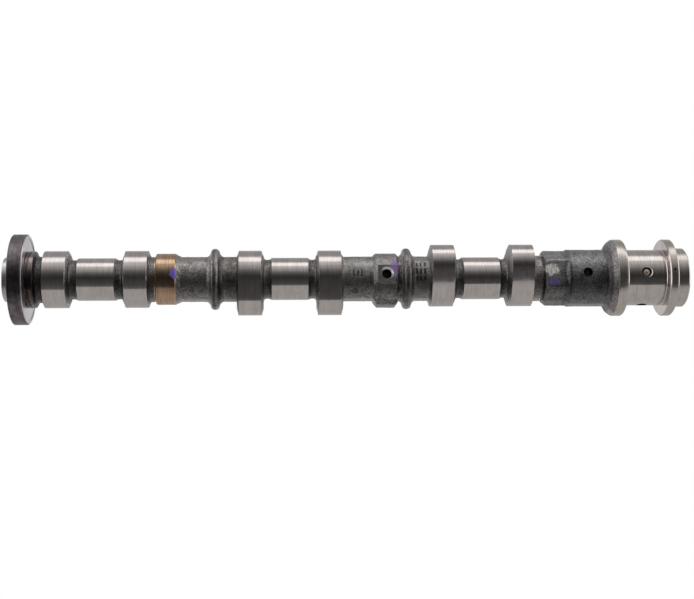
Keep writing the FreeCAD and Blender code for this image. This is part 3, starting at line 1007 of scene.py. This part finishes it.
@dataclass
class WheelAssembly:
    """Pressed timing wheel on the rear spigot, with its bonded magnet ring."""

    shaft: ShaftCasting
    column_count: int = 192
    arc_step: float = 1.5
    radius: float = 24.8
    web: float = 3.0
    rim: float = 2.6
    bend: float = 1.2
    mouth_rounding: float = 0.3
    bevel: float = 0.15
    step_radius: float = 23.3
    step_depth: float = 0.35
    step_foot: float = 14.0
    magnet: float = 0.7
    magnet_bevel: float = 0.3
    magnet_rounding: float = 0.2
    magnet_setback: float = 0.5

    def ring(self, name: str, zone: Zone, *spots: tuple[float, ...]) -> bpy.types.Object:
        """Make a turned ring from its closed outline.

        Args:
            name: name of the piece.
            zone: the ring's finish.
            spots: corners of the section, run so that its outside faces away from it.

        Returns:
            The finished piece.
        """
        corners = stretch(zone, *spots)
        outline = rounded(corners + corners[:1], self.arc_step, self.arc_step)
        angles = np.arange(self.column_count) * FULL_TURN / self.column_count
        x, radii = turned(outline, angles)
        piece = skin(name, lathe(x, radii, angles), [zone] * (len(outline) - 1), [zone])
        smooth(piece)
        return piece

    def build_wheel(self) -> bpy.types.Object:
        """Make the steel wheel: a web against the collar and a rim that points to the rear.

        Returns:
            The finished piece.
        """
        seat, hub, bevel = self.shaft.wheel_seat, self.shaft.spigot_radius, self.bevel
        rear, step = seat - self.shaft.wheel_width, seat - self.step_depth
        rim_inside = self.radius - self.rim
        return self.ring(
            "pressed_wheel", Zone.PRESSED,
            (seat - self.web, hub), (seat - self.web, rim_inside, self.bend),
            (rear, rim_inside, self.mouth_rounding), (rear, self.radius),
            (seat - bevel, self.radius, bevel), (seat, self.radius - bevel, bevel),
            (seat, self.step_radius), (step, self.step_radius),
            (step, self.step_foot), (seat, self.step_foot), (seat, hub),
        )

    def build_magnet(self) -> bpy.types.Object:
        """Make the magnet ring, a little short of the wheel's front edge.

        Returns:
            The finished piece.
        """
        seat, bevel, rounding = self.shaft.wheel_seat, self.magnet_bevel, self.magnet_rounding
        start, end = seat - self.shaft.wheel_width, seat - self.magnet_setback
        outside = self.radius + self.magnet
        return self.ring(
            "magnet_band", Zone.RUBBER,
            (start, self.radius), (start, outside - bevel, rounding), (start + bevel, outside, rounding),
            (end - bevel, outside, rounding), (end, outside - bevel, rounding), (end, self.radius),
        )


@dataclass
class BallPlug:
    """Steel ball that closes the oil hole at the datum angle."""

    shaft: ShaftCasting
    recess: float = 0.3
    rings: int = 24
    column_count: int = 48

    def build(self) -> bpy.types.Object:
        """Make the ball just under the journal's surface.

        Returns:
            The finished piece.
        """
        radius, datum = self.shaft.oil_hole_radius, self.shaft.datum
        centre = place(0, self.shaft.front_journal_radius - self.recess - radius, datum)
        shape = bmesh.new()
        bmesh.ops.create_uvsphere(shape, u_segments=self.column_count, v_segments=self.rings,
                                  radius=radius * METRES)
        shape.transform(place(0, 1, datum).to_track_quat("Z", "X").to_matrix().to_4x4())
        bmesh.ops.translate(shape, verts=shape.verts, vec=centre * METRES)
        mesh = bpy.data.meshes.new("plug_ball")
        shape.to_mesh(mesh)
        shape.free()
        mesh.materials.append(material(Zone.BALL))
        piece = linked("plug_ball", mesh)
        smooth(piece)
        return piece


class Wire:
    """One socket's value in a node graph, whose operators add Math nodes."""

    def __init__(self, graph: "Graph", socket: bpy.types.NodeSocket) -> None:
        """Keep the graph and the socket."""
        self.graph = graph
        self.socket = socket

    def __add__(self, other: "Wire | float") -> "Wire":
        """Sum."""
        return self.graph.math("ADD", self, other)

    __radd__ = __add__

    def __sub__(self, other: "Wire | float") -> "Wire":
        """Difference."""
        return self.graph.math("SUBTRACT", self, other)

    def __rsub__(self, other: float) -> "Wire":
        """Difference from a number."""
        return self.graph.math("SUBTRACT", other, self)

    def __mul__(self, other: "Wire | float") -> "Wire":
        """Product."""
        return self.graph.math("MULTIPLY", self, other)

    __rmul__ = __mul__

    def __truediv__(self, other: "Wire | float") -> "Wire":
        """Quotient."""
        return self.graph.math("DIVIDE", self, other)

    def __neg__(self) -> "Wire":
        """Opposite."""
        return self * -1.0

    def __abs__(self) -> "Wire":
        """Size without its sign."""
        return self.graph.math("ABSOLUTE", self)

    def ramp(self, low: float, high: float) -> "Wire":
        """The value's place between low and high, smoothed and held within 0 and 1.

        Args:
            low: value that gives 0.
            high: value that gives 1.

        Returns:
            The place.
        """
        settings = {"interpolation_type": "SMOOTHSTEP"}
        inputs = {"Value": self, "From Min": low, "From Max": high}
        return self.graph.node("ShaderNodeMapRange", settings, inputs)["Result"]


class Node:
    """A node whose outputs are read by name or number."""

    def __init__(self, graph: "Graph", node: bpy.types.Node) -> None:
        """Keep the graph and the node."""
        self.graph = graph
        self.node = node

    def __getitem__(self, name: str | int) -> Wire:
        """The output of that name or number."""
        return Wire(self.graph, self.node.outputs[name])


class Graph:
    """Node graph of a material or of the world."""

    def __init__(self, owner: bpy.types.Material | bpy.types.World) -> None:
        """Start an empty graph.

        Args:
            owner: the material or the world.
        """
        owner.use_nodes = True
        self.tree = owner.node_tree
        self.tree.nodes.clear()

    def node(self, kind: str, settings: dict | None = None, inputs: dict | None = None) -> Node:
        """Add any node.

        Args:
            kind: the node's type.
            settings: the node's own settings; "stops" holds a ramp's places and colours.
            inputs: numbers, colours or wires for its sockets, by name or number.

        Returns:
            The node.
        """
        made = self.tree.nodes.new(kind)
        for name, value in (settings or {}).items():
            if name == "stops":
                self.set_stops(made.color_ramp, value)
            else:
                setattr(made, name, value)
        for name, value in (inputs or {}).items():
            socket = made.inputs[name]
            if isinstance(value, Wire):
                self.tree.links.new(value.socket, socket)
            elif socket.type == "RGBA":
                socket.default_value = (*value, 1.0)
            else:
                socket.default_value = value
        return Node(self, made)

    def set_stops(self, ramp: bpy.types.ColorRamp, stops: list[tuple[float, float]]) -> None:
        """Give a ramp its stops, each a place and a grey level.

        Args:
            ramp: the ramp.
            stops: its stops, in rising order.
        """
        while len(ramp.elements) < len(stops):
            ramp.elements.new(1.0)
        for element, (spot, level) in zip(ramp.elements, stops):
            element.position = spot
            element.color = (level, level, level, 1.0)

    def math(self, operation: str, *values: Wire | float) -> Wire:
        """The result of a Math node on the values."""
        return self.node("ShaderNodeMath", {"operation": operation}, dict(enumerate(values)))["Value"]

    def mix(self, factor: Wire | float, first: Wire | tuple, second: Wire | tuple) -> Wire:
        """Colour between two colours."""
        inputs = {0: factor, 6: first, 7: second}
        return self.node("ShaderNodeMix", {"data_type": "RGBA"}, inputs)[2]

    def vector(self, operation: str, first: Wire | tuple, second: Wire | tuple) -> Node:
        """Vector Math node."""
        return self.node("ShaderNodeVectorMath", {"operation": operation}, {0: first, 1: second})

    def noise(self, where: Wire, scale: float, detail: float = 3.0, roughness: float = 0.55) -> Wire:
        """Noise between 0 and 1."""
        inputs = {"Vector": where, "Scale": scale, "Detail": detail, "Roughness": roughness}
        return self.node("ShaderNodeTexNoise", None, inputs)["Fac"]

    def surface(self, colour: Wire, rough: Wire | float, metal: Wire | float, height: Wire,
                bump_strength: float, bump_height: float) -> None:
        """End a material in a bumped metal or rubber surface.

        Args:
            colour: base colour.
            rough: roughness.
            metal: share that is bare metal.
            height: height of the bump, about 0 to 1.
            bump_strength: how much of the bump shows.
            bump_height: what a height of 1 stands for, in metres.
        """
        bump = {"Strength": bump_strength, "Distance": bump_height, "Height": height}
        normal = self.node("ShaderNodeBump", None, bump)["Normal"]
        looks = {"Base Color": colour, "Roughness": rough, "Metallic": metal, "Normal": normal}
        shader = self.node("ShaderNodeBsdfPrincipled", None, looks)["BSDF"]
        self.node("ShaderNodeOutputMaterial", None, {"Surface": shader})


@dataclass
class Shaft:
    """Places on the object as a shader sees them, in millimetres and radians."""

    graph: Graph

    def __post_init__(self) -> None:
        """Read the object's own coordinates."""
        graph = self.graph
        here = graph.node("ShaderNodeTexCoord")["Object"]
        self.spot = graph.node("ShaderNodeVectorMath", {"operation": "SCALE"},
                               {0: here, "Scale": 1 / METRES})["Vector"]
        parts = graph.node("ShaderNodeSeparateXYZ", None, {0: self.spot})
        self.x, self.y, self.z = parts["X"], parts["Y"], parts["Z"]
        self.turn = graph.math("ARCTAN2", self.z, -self.y)

    def round_the_axis(self, along: float, around: float) -> Wire:
        """Coordinates for marks that run round the shaft, at a rate along it and one round it.

        Args:
            along: rate along the shaft.
            around: rate round it.

        Returns:
            The coordinates.
        """
        seam_free = {
            "X": self.x * along,
            "Y": self.graph.math("COSINE", self.turn) * around,
            "Z": self.graph.math("SINE", self.turn) * around,
        }
        return self.graph.node("ShaderNodeCombineXYZ", None, seam_free)["Vector"]

    @property
    def height(self) -> Wire:
        """Height over the radius, from -1 to 1."""
        return self.z / self.graph.math("SQRT", self.y * self.y + self.z * self.z)

    def at_angle(self, angle: float) -> tuple[Wire, Wire]:
        """Distance round from an angle about the axis, and 1 on that side of the shaft.

        Args:
            angle: angle about the axis, in degrees.

        Returns:
            The distance and the side.
        """
        turn = math.radians(angle)
        around = self.y * math.sin(turn) + self.z * math.cos(turn)
        outward = self.z * math.sin(turn) - self.y * math.cos(turn)
        return around, outward.ramp(2.0, 4.0)

    def near_angle(self, angle: float, half_width: float) -> Wire:
        """1 within a half width of an angle about the axis, in millimetres of arc, and 0 beyond."""
        around, facing = self.at_angle(angle)
        return (1 - abs(around).ramp(half_width * 0.6, half_width * 1.4)) * facing


@dataclass(frozen=True)
class PaintedTurnShade:
    """Painted shade round part of a turn, set by the height over the radius, from -1 to 1."""

    centre: float = -0.32
    depth: float = 0.645
    whole: float = 0.05
    fade: float = 0.74

    def left(self, shaft: Shaft) -> Wire:
        """Share of the colour that the painted shade leaves."""
        away = abs(shaft.height - self.centre)
        return 1 - (1 - away.ramp(self.whole, self.fade)) * self.depth


@dataclass(frozen=True)
class PaintedStretchShade:
    """Painted shade over a stretch along the shaft, which may keep to part of the turn."""

    x: float
    whole: float
    fade: float
    depth: float
    height: float = 0.0
    spread: float = 0.0

    def left(self, shaft: Shaft) -> Wire:
        """Share of the colour that the painted shade leaves.

        Args:
            shaft: places on the shaft as the shader sees them.

        Returns:
            The share.
        """
        away = abs(shaft.x - self.x)
        darkening = (1 - away.ramp(self.whole, self.fade)) * self.depth
        if self.spread:
            beside = abs(shaft.height - self.height).ramp(self.spread * 0.4, self.spread)
            darkening = darkening * (1 - beside)
        return 1 - darkening


@dataclass(frozen=True)
class PaintMark:
    """Inspection paint dabbed on the shaft, and the painted shade laid over the dimple."""

    x: float
    angle: float
    radius: float
    half_size: tuple[float, float, float]
    colour: Colour
    raggedness: float = 0.5
    cover: float = 1.0
    streaks: float = 0.0

    def mask(self, shaft: Shaft) -> Wire:
        """1 on the paint and 0 off it.

        Args:
            shaft: places on the shaft as the shader sees them.

        Returns:
            The mask.
        """
        graph = shaft.graph
        centre = tuple(place(self.x, self.radius, self.angle))
        away = graph.vector("SUBTRACT", shaft.spot, centre)["Vector"]
        scaled = graph.vector("DIVIDE", away, self.half_size)["Vector"]
        distance = graph.vector("LENGTH", scaled, (0, 0, 0))["Value"]
        ragged = (graph.noise(shaft.spot, 0.55, 4.0, 0.7) - 0.5) * (self.raggedness * 2)
        cover = (1 - (distance + ragged).ramp(0.8, 1.15)) * self.cover
        if self.streaks:
            bare = graph.noise(shaft.round_the_axis(0.9, 3.0), 1.0, 3.0).ramp(0.46, 0.6)
            cover = cover * (1 - bare * self.streaks)
        return cover


@dataclass(frozen=True)
class CastStamp:
    """Patch of short plain bars, which stands for marks of the casting's pattern."""

    x: float
    angle: float
    half_length: float
    half_width: float
    pitch_along: float = 2.3
    pitch_around: float = 4.6
    gap_along: float = 0.22
    gap_around: float = 0.41
    blur: float = 0.05

    def mask(self, shaft: Shaft) -> Wire:
        """1 on the bars and 0 off them.

        Args:
            shaft: places on the shaft as the shader sees them.

        Returns:
            The mask.
        """
        around, within = shaft.at_angle(self.angle)
        ways = (
            (shaft.x - self.x, self.half_length, self.pitch_along, self.gap_along),
            (around, self.half_width, self.pitch_around, self.gap_around),
        )
        for way, half, pitch, gap in ways:
            within = within * (1 - abs(way).ramp(half - 2 * self.blur, half + 2 * self.blur))
            beside = shaft.graph.math("PINGPONG", way / pitch, 0.5)
            within = within * (1 - beside.ramp(gap - self.blur, gap + self.blur))
        return within


@dataclass(frozen=True)
class Finish:
    """Look of one zone."""

    zone: Zone

    def dress(self) -> None:
        """Fill the zone's material."""
        self.shade(Shaft(Graph(material(self.zone))))

    def shade(self, shaft: Shaft) -> None:
        """Build the look.

        Args:
            shaft: places on the shaft as the shader sees them.
        """
        raise NotImplementedError


@dataclass(frozen=True)
class GroundMetal(Finish):
    """Ground or turned bare metal, with fine marks round the axis."""

    colour: Colour
    dark_colour: Colour
    roughness: float
    mark_rate: float = 1.9
    mark_depth: float = 0.35
    mark_height: float = 0.00002
    paint: tuple[PaintMark, ...] = ()
    # Painted shade round part of the turn, where the finish has one.
    turn_shade: PaintedTurnShade | None = None

    def shade(self, shaft: Shaft) -> None:
        """Build the look.

        Args:
            shaft: places on the shaft as the shader sees them.
        """
        graph = shaft.graph
        fine = graph.noise(shaft.round_the_axis(self.mark_rate, 1.2), 1.0, 4.0, 0.65)
        broad = graph.noise(shaft.round_the_axis(0.5, 0.6), 1.0, 2.0)
        blotch = graph.noise(shaft.spot, 0.22, 4.0)
        worn = (fine * 0.6 + broad * 0.15 + blotch * 0.25).ramp(0.40, 0.61)
        colour = graph.mix(worn, self.dark_colour, self.colour)
        # Painted shade: the colour darkens round part of the turn.
        if self.turn_shade:
            colour = graph.mix(self.turn_shade.left(shaft), BLACK, colour)
        rough = self.roughness + (fine - 0.5) * 0.08 + (blotch - 0.5) * 0.1
        metal = 1.0
        for mark in self.paint:
            mask = mark.mask(shaft)
            colour = graph.mix(mask, colour, mark.colour)
            rough = rough + mask * 0.2
            metal = (1 - mask) * metal
        graph.surface(colour, rough, metal, fine + broad * 0.5, self.mark_depth, self.mark_height)


@dataclass(frozen=True)
class CastIron(Finish):
    """As-cast iron skin: grainy and dark, with fettled parting strips, dabs of paint, and painted shade
    round the turn, along stretches of the shaft and over the dimple.
    """

    zone: Zone = Zone.CAST
    dark: Colour = (0.13, 0.125, 0.12)
    light: Colour = (0.62, 0.565, 0.535)
    cool: Colour = (0.525, 0.52, 0.53)
    fettled: Colour = (0.66, 0.64, 0.61)
    pit: Colour = (0.012, 0.011, 0.010)
    roughness: float = 0.42
    metallic: float = 0.92
    grain_depth: float = 0.8
    grain_height: float = 0.00012
    cool_start: float = -60.0
    cool_whole: float = -52.0
    strips: tuple[tuple[float, float], ...] = ((-76.0, 3.2), (102.0, 1.2))
    stamps: tuple[CastStamp, ...] = ()
    paint: tuple[PaintMark, ...] = ()
    # Painted shade round part of the turn, and along stretches of the shaft.
    turn_shade: PaintedTurnShade = PaintedTurnShade()
    stretch_shades: tuple[PaintedStretchShade, ...] = ()

    def shade(self, shaft: Shaft) -> None:
        """Build the look.

        Args:
            shaft: places on the shaft as the shader sees them.
        """
        graph = shaft.graph
        grain = graph.noise(shaft.spot, 1.5, 5.0, 0.75)
        blotch = graph.noise(shaft.spot, 0.4, 3.0, 0.6)
        cloud = graph.noise(shaft.spot, 0.13, 3.0, 0.6)
        speck = graph.noise(shaft.spot, 2.3, 2.0, 0.5)
        in_front = shaft.x.ramp(self.cool_start, self.cool_whole)
        cooled = graph.math("MAXIMUM", cloud.ramp(0.42, 0.58) * 0.6, in_front)
        tone = (grain * 0.65 + blotch * 0.22 + cloud * 0.13).ramp(0.39, 0.61)
        colour = graph.mix(tone, self.dark, graph.mix(cooled, self.light, self.cool))
        glints = (1 - speck).ramp(0.61, 0.66)
        colour = graph.mix(glints * 0.75, colour, self.fettled)
        pits = speck.ramp(0.62, 0.68)
        rough = self.roughness + (grain - 0.5) * 0.3 - glints * 0.1
        height = grain - pits * 0.6 + speck * 0.3
        for angle, half_width in self.strips:
            strip = shaft.near_angle(angle, half_width) * grain.ramp(0.34, 0.46)
            colour = graph.mix(strip * 0.85, colour, self.fettled)
            rough = rough - strip * 0.12
        # The bars take the pits' near-black colour and sink in the bump.
        for stamp in self.stamps:
            mask = stamp.mask(shaft)
            pits = graph.math("MAXIMUM", pits, mask * (grain * 1.6).ramp(0.5, 0.9))
            height = height - mask * 1.2
        colour = graph.mix(pits, colour, self.pit)
        # Painted shade: the colour darkens round part of the turn and along the given stretches, broken up
        # by the grain.
        left = self.turn_shade.left(shaft)
        for shaded in self.stretch_shades:
            left = left * shaded.left(shaft)
        colour = graph.mix(left * (grain * 1.2 + 0.4), BLACK, colour)
        metal = self.metallic
        # The paint marks include the painted shade laid over the dimple.
        for mark in self.paint:
            mask = mark.mask(shaft)
            colour = graph.mix(mask, colour, mark.colour)
            metal = (1 - mask) * metal
        graph.surface(colour, rough, metal, height, self.grain_depth, self.grain_height)


@dataclass(frozen=True)
class MagnetRubber(Finish):
    """Bonded magnetic rubber, satin and dark brown-grey, with faint lines round the rim."""

    zone: Zone = Zone.RUBBER
    dark: Colour = (0.12, 0.10, 0.108)
    light: Colour = (0.27, 0.235, 0.25)
    roughness: float = 0.36
    metallic: float = 0.92
    # Painted shade round part of the turn.
    turn_shade: PaintedTurnShade = PaintedTurnShade(-0.1, 0.66, 0.1, 0.6)

    def shade(self, shaft: Shaft) -> None:
        """Build the look.

        Args:
            shaft: places on the shaft as the shader sees them.
        """
        graph = shaft.graph
        lines = graph.noise(shaft.round_the_axis(3.5, 2.0), 1.0, 3.0, 0.6)
        blotch = graph.noise(shaft.spot, 0.3, 4.0)
        colour = graph.mix((lines * 0.6 + blotch * 0.4).ramp(0.4, 0.62), self.dark, self.light)
        # Painted shade: the colour darkens round part of the turn.
        colour = graph.mix(self.turn_shade.left(shaft), BLACK, colour)
        rough = self.roughness + (lines - 0.5) * 0.2 + (blotch - 0.5) * 0.2
        graph.surface(colour, rough, self.metallic, lines, 0.5, 0.00005)


@dataclass(frozen=True)
class CutThread(Finish):
    """Thread in the bore, as a bump that winds round the axis."""

    zone: Zone = Zone.THREAD
    dark: Colour = (0.12, 0.11, 0.10)
    light: Colour = (0.36, 0.34, 0.32)
    roughness: float = 0.35
    pitch: float = 1.5
    thread_height: float = 0.0004

    def shade(self, shaft: Shaft) -> None:
        """Build the look.

        Args:
            shaft: places on the shaft as the shader sees them.
        """
        graph = shaft.graph
        height = graph.math("SINE", shaft.x * (math.tau / self.pitch) + shaft.turn)
        colour = graph.mix(graph.noise(shaft.spot, 0.6), self.dark, self.light)
        graph.surface(colour, self.roughness, 1.0, height, 1.0, self.thread_height)


@dataclass(frozen=True)
class Studio:
    """Plain studio: an overhead soft strip, grey backdrops, a dark side behind the camera, a pale floor."""

    levels: tuple[tuple[float, float], ...] = (
        (-180, 0.65), (-150, 0.30), (-60, 0.12), (-36, 0.11), (-20, 0.074), (-4, 0.055), (4, 0.041),
        (12, 0.043), (20, 0.068), (28, 0.107), (36, 0.18), (45, 0.33), (54, 0.45), (63, 0.61), (73, 0.76),
        (79, 1.45), (95, 1.45), (102, 0.60), (108, 0.40), (140, 0.38), (155, 0.48), (170, 0.62), (180, 0.65),
    )
    brightest: float = 2.0
    side_level: float = 1.25
    floor_drop: float = 0.6
    floor_corners: tuple[tuple[float, float], ...] = (
        (-4.0, -0.68), (-0.6, -0.68), (0.5, -1.12), (4.0, -1.12), (4.0, 3.0), (-4.0, 3.0),
    )
    floor_colour: Colour = (0.66, 0.655, 0.65)

    def light(self) -> None:
        """Fill the world: levels by angle about the shaft's direction, and white for the camera."""
        world = bpy.data.worlds.new("studio")
        bpy.context.scene.world = world
        graph = Graph(world)
        sky = graph.node("ShaderNodeTexCoord")["Generated"]
        parts = graph.node("ShaderNodeSeparateXYZ", None, {0: sky})
        x, y, z = parts["X"], parts["Y"], parts["Z"]
        turn = graph.math("ARCTAN2", z, -y) / math.tau + 0.5
        stops = [(angle / FULL_TURN + 0.5, level / self.brightest) for angle, level in self.levels]
        along = graph.node("ShaderNodeValToRGB", {"stops": stops}, {0: turn})["Color"]
        level = graph.node("ShaderNodeRGBToBW", None, {0: along})["Val"] * self.brightest
        beside = (abs(x) / (graph.math("SQRT", y * y + z * z) + 0.001)).ramp(0.9, 1.6)
        level = level * (1 - beside) + beside * self.side_level
        lit = graph.node("ShaderNodeBackground", None, {"Color": WHITE, "Strength": level})["Background"]
        white = graph.node("ShaderNodeBackground", None, {"Color": WHITE, "Strength": 1.0})["Background"]
        self.show(graph, "ShaderNodeOutputWorld", lit, white)

    def lay_floor(self) -> None:
        """Lay the pale floor, whose front edge stands where the photo's reflections end."""
        mesh = bpy.data.meshes.new("floor")
        points = [(x, y, -self.floor_drop) for x, y in self.floor_corners]
        mesh.from_pydata(points, [], [tuple(range(len(points)))])
        floor = linked("floor", mesh)
        paint = bpy.data.materials.new("pale_floor")
        graph = Graph(paint)
        paper = graph.node("ShaderNodeBsdfDiffuse", None, {"Color": self.floor_colour})["BSDF"]
        white = graph.node("ShaderNodeEmission", None, {"Color": WHITE, "Strength": 1.0})["Emission"]
        self.show(graph, "ShaderNodeOutputMaterial", paper, white)
        mesh.materials.append(paint)

    def show(self, graph: Graph, output: str, lit: Wire, white: Wire) -> None:
        """Show plain white to the camera, and leave the light as it is.

        Args:
            graph: graph of the world or of a stage material.
            output: type of its output node.
            lit: what lights the object.
            white: what the camera sees.
        """
        seen = graph.node("ShaderNodeLightPath")["Is Camera Ray"]
        shown = graph.node("ShaderNodeMixShader", None, {0: seen, 1: lit, 2: white})["Shader"]
        graph.node(output, None, {"Surface": shown})


@dataclass(frozen=True)
class Viewpoint:
    """The photo's camera, worked out from the outlines of the shaft."""

    position: tuple[float, float, float] = (-209.15, -746.3, 0.0)
    yaw: float = 3.06
    pitch: float = 0.91
    roll: float = 0.195
    focal_pixels: float = 1310.0
    image_width: float = 694.0
    sensor_width: float = 36.0

    def stand(self) -> None:
        """Make the scene's camera."""
        data = bpy.data.cameras.new("photo_camera")
        data.sensor_width = self.sensor_width
        data.lens = self.sensor_width * self.focal_pixels / self.image_width
        camera = linked("photo_camera", data)
        turn = Matrix.Rotation(math.radians(-self.yaw), 4, "Z")
        tilt = Matrix.Rotation(math.radians(90 - self.pitch), 4, "X")
        roll = Matrix.Rotation(math.radians(-self.roll), 4, "Z")
        camera.matrix_world = Matrix.Translation(Vector(self.position) * METRES) @ turn @ tilt @ roll
        bpy.context.scene.camera = camera


def finishes(shaft: ShaftCasting) -> list[Finish]:
    """Every finish of the object.

    Args:
        shaft: the casting, which the marks take their places from.

    Returns:
        The finishes, each with its zone.
    """
    seat, journals, hexagon = shaft.wheel_seat, shaft.journals, shaft.hexagon
    band_start, band_front = (shaft.band_centre + sign * shaft.band_width / 2 for sign in (-1, 1))
    boss, rear_rib, next_rib = shaft.boss_centre, shaft.rear_rib, shaft.front_rib
    flats_end, flare_foot = hexagon.flats_end, shaft.flare_foot
    purple, pale_purple, deep_blue = (0.20, 0.13, 0.80), (0.38, 0.24, 0.56), (0.17, 0.13, 0.38)
    off_white, hollow_shade = (1.0, 1.0, 0.92), (0.02, 0.02, 0.02)
    band_dab = PaintMark(band_front - 0.2, 13, 14.5, (3.0, 5.0, 3.2), purple, 0.6, 0.85)
    pad_dab = PaintMark(boss + 4.6, 26, 14.5, (2.9, 6.0, 5.6), pale_purple, 1.1, 0.8)
    white_dab = PaintMark(hexagon.centre - 2.2, 21, 14.3, (3.8, 4.5, 3.4), off_white, 0.9, 1.0, 0.55)
    blue_dab = PaintMark(hexagon.centre - 1.7, -7.5, 14.3, (3.3, 4.0, 2.4), deep_blue, 1.2, 0.85, 0.3)
    # The dimple gets painted shade: a near-black patch laid over the dent.
    dimple = PaintMark(boss - shaft.dimple_to_boss, shaft.dimple_angle, 12.5, (2.0, 3.0, 1.7), hollow_shade,
                       0.6, 0.55)
    stamps = (CastStamp(boss - 16.3, 14, 3.5, 3.1), CastStamp(journals[2] - 34.9, 19, 3.4, 5.4))
    # Painted shade along stretches of the shaft: on and beside the ribs, behind the band, in the neck behind
    # the collar, at the foot of a lobe, over the barrel and the flare's foot, on the hexagon's slope and
    # corner, and low on the hexagon and the boss.
    stretch_shades = (
        PaintedStretchShade(rear_rib - 0.45, 0.35, 1.2, 0.55), PaintedStretchShade(rear_rib + 3.4, 1.1, 2.2, 0.45),
        PaintedStretchShade(next_rib - 0.7, 0.7, 1.7, 0.3), PaintedStretchShade(next_rib, 3.5, 5.0, 0.25, height=0.1, spread=0.5),
        PaintedStretchShade(seat + 6.3, 2.4, 3.6, 0.62), PaintedStretchShade(flare_foot - 0.65, 0.4, 1.6, 0.35),
        PaintedStretchShade(band_start - 1.6, 1.6, 2.4, 0.35), PaintedStretchShade(flats_end + 1.0, 1.6, 2.4, 0.3),
        PaintedStretchShade(flats_end + 2.3, 0.3, 1.1, 0.55, height=0.0, spread=0.8),
        PaintedStretchShade(flare_foot - 8.65, 10.0, 18.0, 0.2),
        PaintedStretchShade(flare_foot - 2.65, 2.0, 6.0, 0.24, height=-0.05, spread=0.6),
        PaintedStretchShade(journals[1] - 32.0, 2.0, 6.5, 0.3),
        PaintedStretchShade(hexagon.centre, 6.0, 7.5, 0.42, height=-1.1, spread=0.5),
        PaintedStretchShade(boss, 5.5, 7.0, 0.35, height=-1.1, spread=0.35),
    )
    # Painted shade in the necks on either side of each journal.
    neck_offset, neck_whole, neck_fade = 13.3, 1.5, 2.5
    for centre, behind, ahead in zip(journals, (0.50, 0.44, 0.42), (0.53, 0.42, 0.36)):
        for offset, depth in ((-neck_offset, behind), (neck_offset, ahead)):
            stretch_shades += (PaintedStretchShade(centre + offset, neck_whole, neck_fade, depth),)
    return [
        # The cast skin is darkened by painted shade round its turn and along the stretches above.
        CastIron(stamps=stamps, paint=(pad_dab, white_dab, blue_dab, dimple), stretch_shades=stretch_shades),
        # The flare is darkened by painted shade round its turn and at its foot.
        CastIron(Zone.FLARE, (0.16, 0.145, 0.15), (0.56, 0.51, 0.52), (0.53, 0.485, 0.50), roughness=0.52,
                 turn_shade=PaintedTurnShade(-0.2, 0.6, 0.05, 0.6), stretch_shades=(PaintedStretchShade(flare_foot + 0.05, 0.9, 1.9, 0.45),)),
        GroundMetal(Zone.GROUND, (0.68, 0.63, 0.61), (0.555, 0.505, 0.485), 0.14),
        GroundMetal(Zone.BEARING, (0.70, 0.645, 0.62), (0.545, 0.495, 0.465), 0.14),
        # The rim, band, collar, spigot and pressed wheel below are darkened round part of their turn by
        # painted shade.
        GroundMetal(Zone.RIM, (0.655, 0.60, 0.56), (0.525, 0.475, 0.425), 0.24,
                    turn_shade=PaintedTurnShade(-0.2, 0.25, 0.03, 0.2)),
        GroundMetal(Zone.MILLED, (0.50, 0.49, 0.50), (0.34, 0.335, 0.345), 0.30, paint=(pad_dab,)),
        GroundMetal(Zone.BAND, (0.64, 0.46, 0.325), (0.43, 0.275, 0.17), 0.18, paint=(band_dab,),
                    turn_shade=PaintedTurnShade(-0.03, 0.32, 0.38, 0.58)),
        GroundMetal(Zone.COLLAR, (0.42, 0.335, 0.335), (0.24, 0.18, 0.18), 0.16,
                    turn_shade=PaintedTurnShade(-0.3, 0.8, 0.1, 1.0)),
        GroundMetal(Zone.SPIGOT, (0.78, 0.755, 0.81), (0.60, 0.575, 0.625), 0.32,
                    turn_shade=PaintedTurnShade(-0.35, 0.35, 0.0, 0.6)),
        GroundMetal(Zone.DRILLED, (0.22, 0.20, 0.19), (0.08, 0.07, 0.07), 0.42),
        GroundMetal(Zone.SINK, (0.78, 0.76, 0.74), (0.58, 0.56, 0.54), 0.24),
        GroundMetal(Zone.PRESSED, (0.76, 0.755, 0.75), (0.60, 0.59, 0.585), 0.28,
                    turn_shade=PaintedTurnShade(-0.1, 0.3, 0.1, 0.5)),
        GroundMetal(Zone.BALL, (0.60, 0.50, 0.43), (0.44, 0.36, 0.30), 0.42),
        CutThread(),
        MagnetRubber(),
    ]


def install(piece: bpy.types.Object, node: str) -> None:
    """Let a piece stand for its node, and report it.

    Args:
        piece: the finished piece.
        node: the solid that it stands for.
    """
    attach(piece, "root")
    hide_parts(node)
    triangles = sum(len(face.vertices) - 2 for face in piece.data.polygons)
    LOG.info("%s stands for %s with %d triangles", piece.name, node, triangles)


def main() -> None:
    """Build the pieces in order, dress them, and set up the studio and the camera."""
    logging.basicConfig(level=logging.INFO, format="%(name)s: %(message)s")
    shaft = ShaftCasting()
    for finish in finishes(shaft):
        finish.dress()
    wheel = WheelAssembly(shaft)
    install(shaft.build(), "camshaft")
    install(wheel.build_wheel(), "timing_wheel")
    install(wheel.build_magnet(), "magnet_ring")
    install(BallPlug(shaft).build(), "ball_plug")
    studio = Studio()
    studio.light()
    studio.lay_floor()
    Viewpoint().stand()
    bpy.context.scene.view_settings.view_transform = "Standard"
    bpy.context.view_layer.update()


if __name__ == "__main__":
    main()
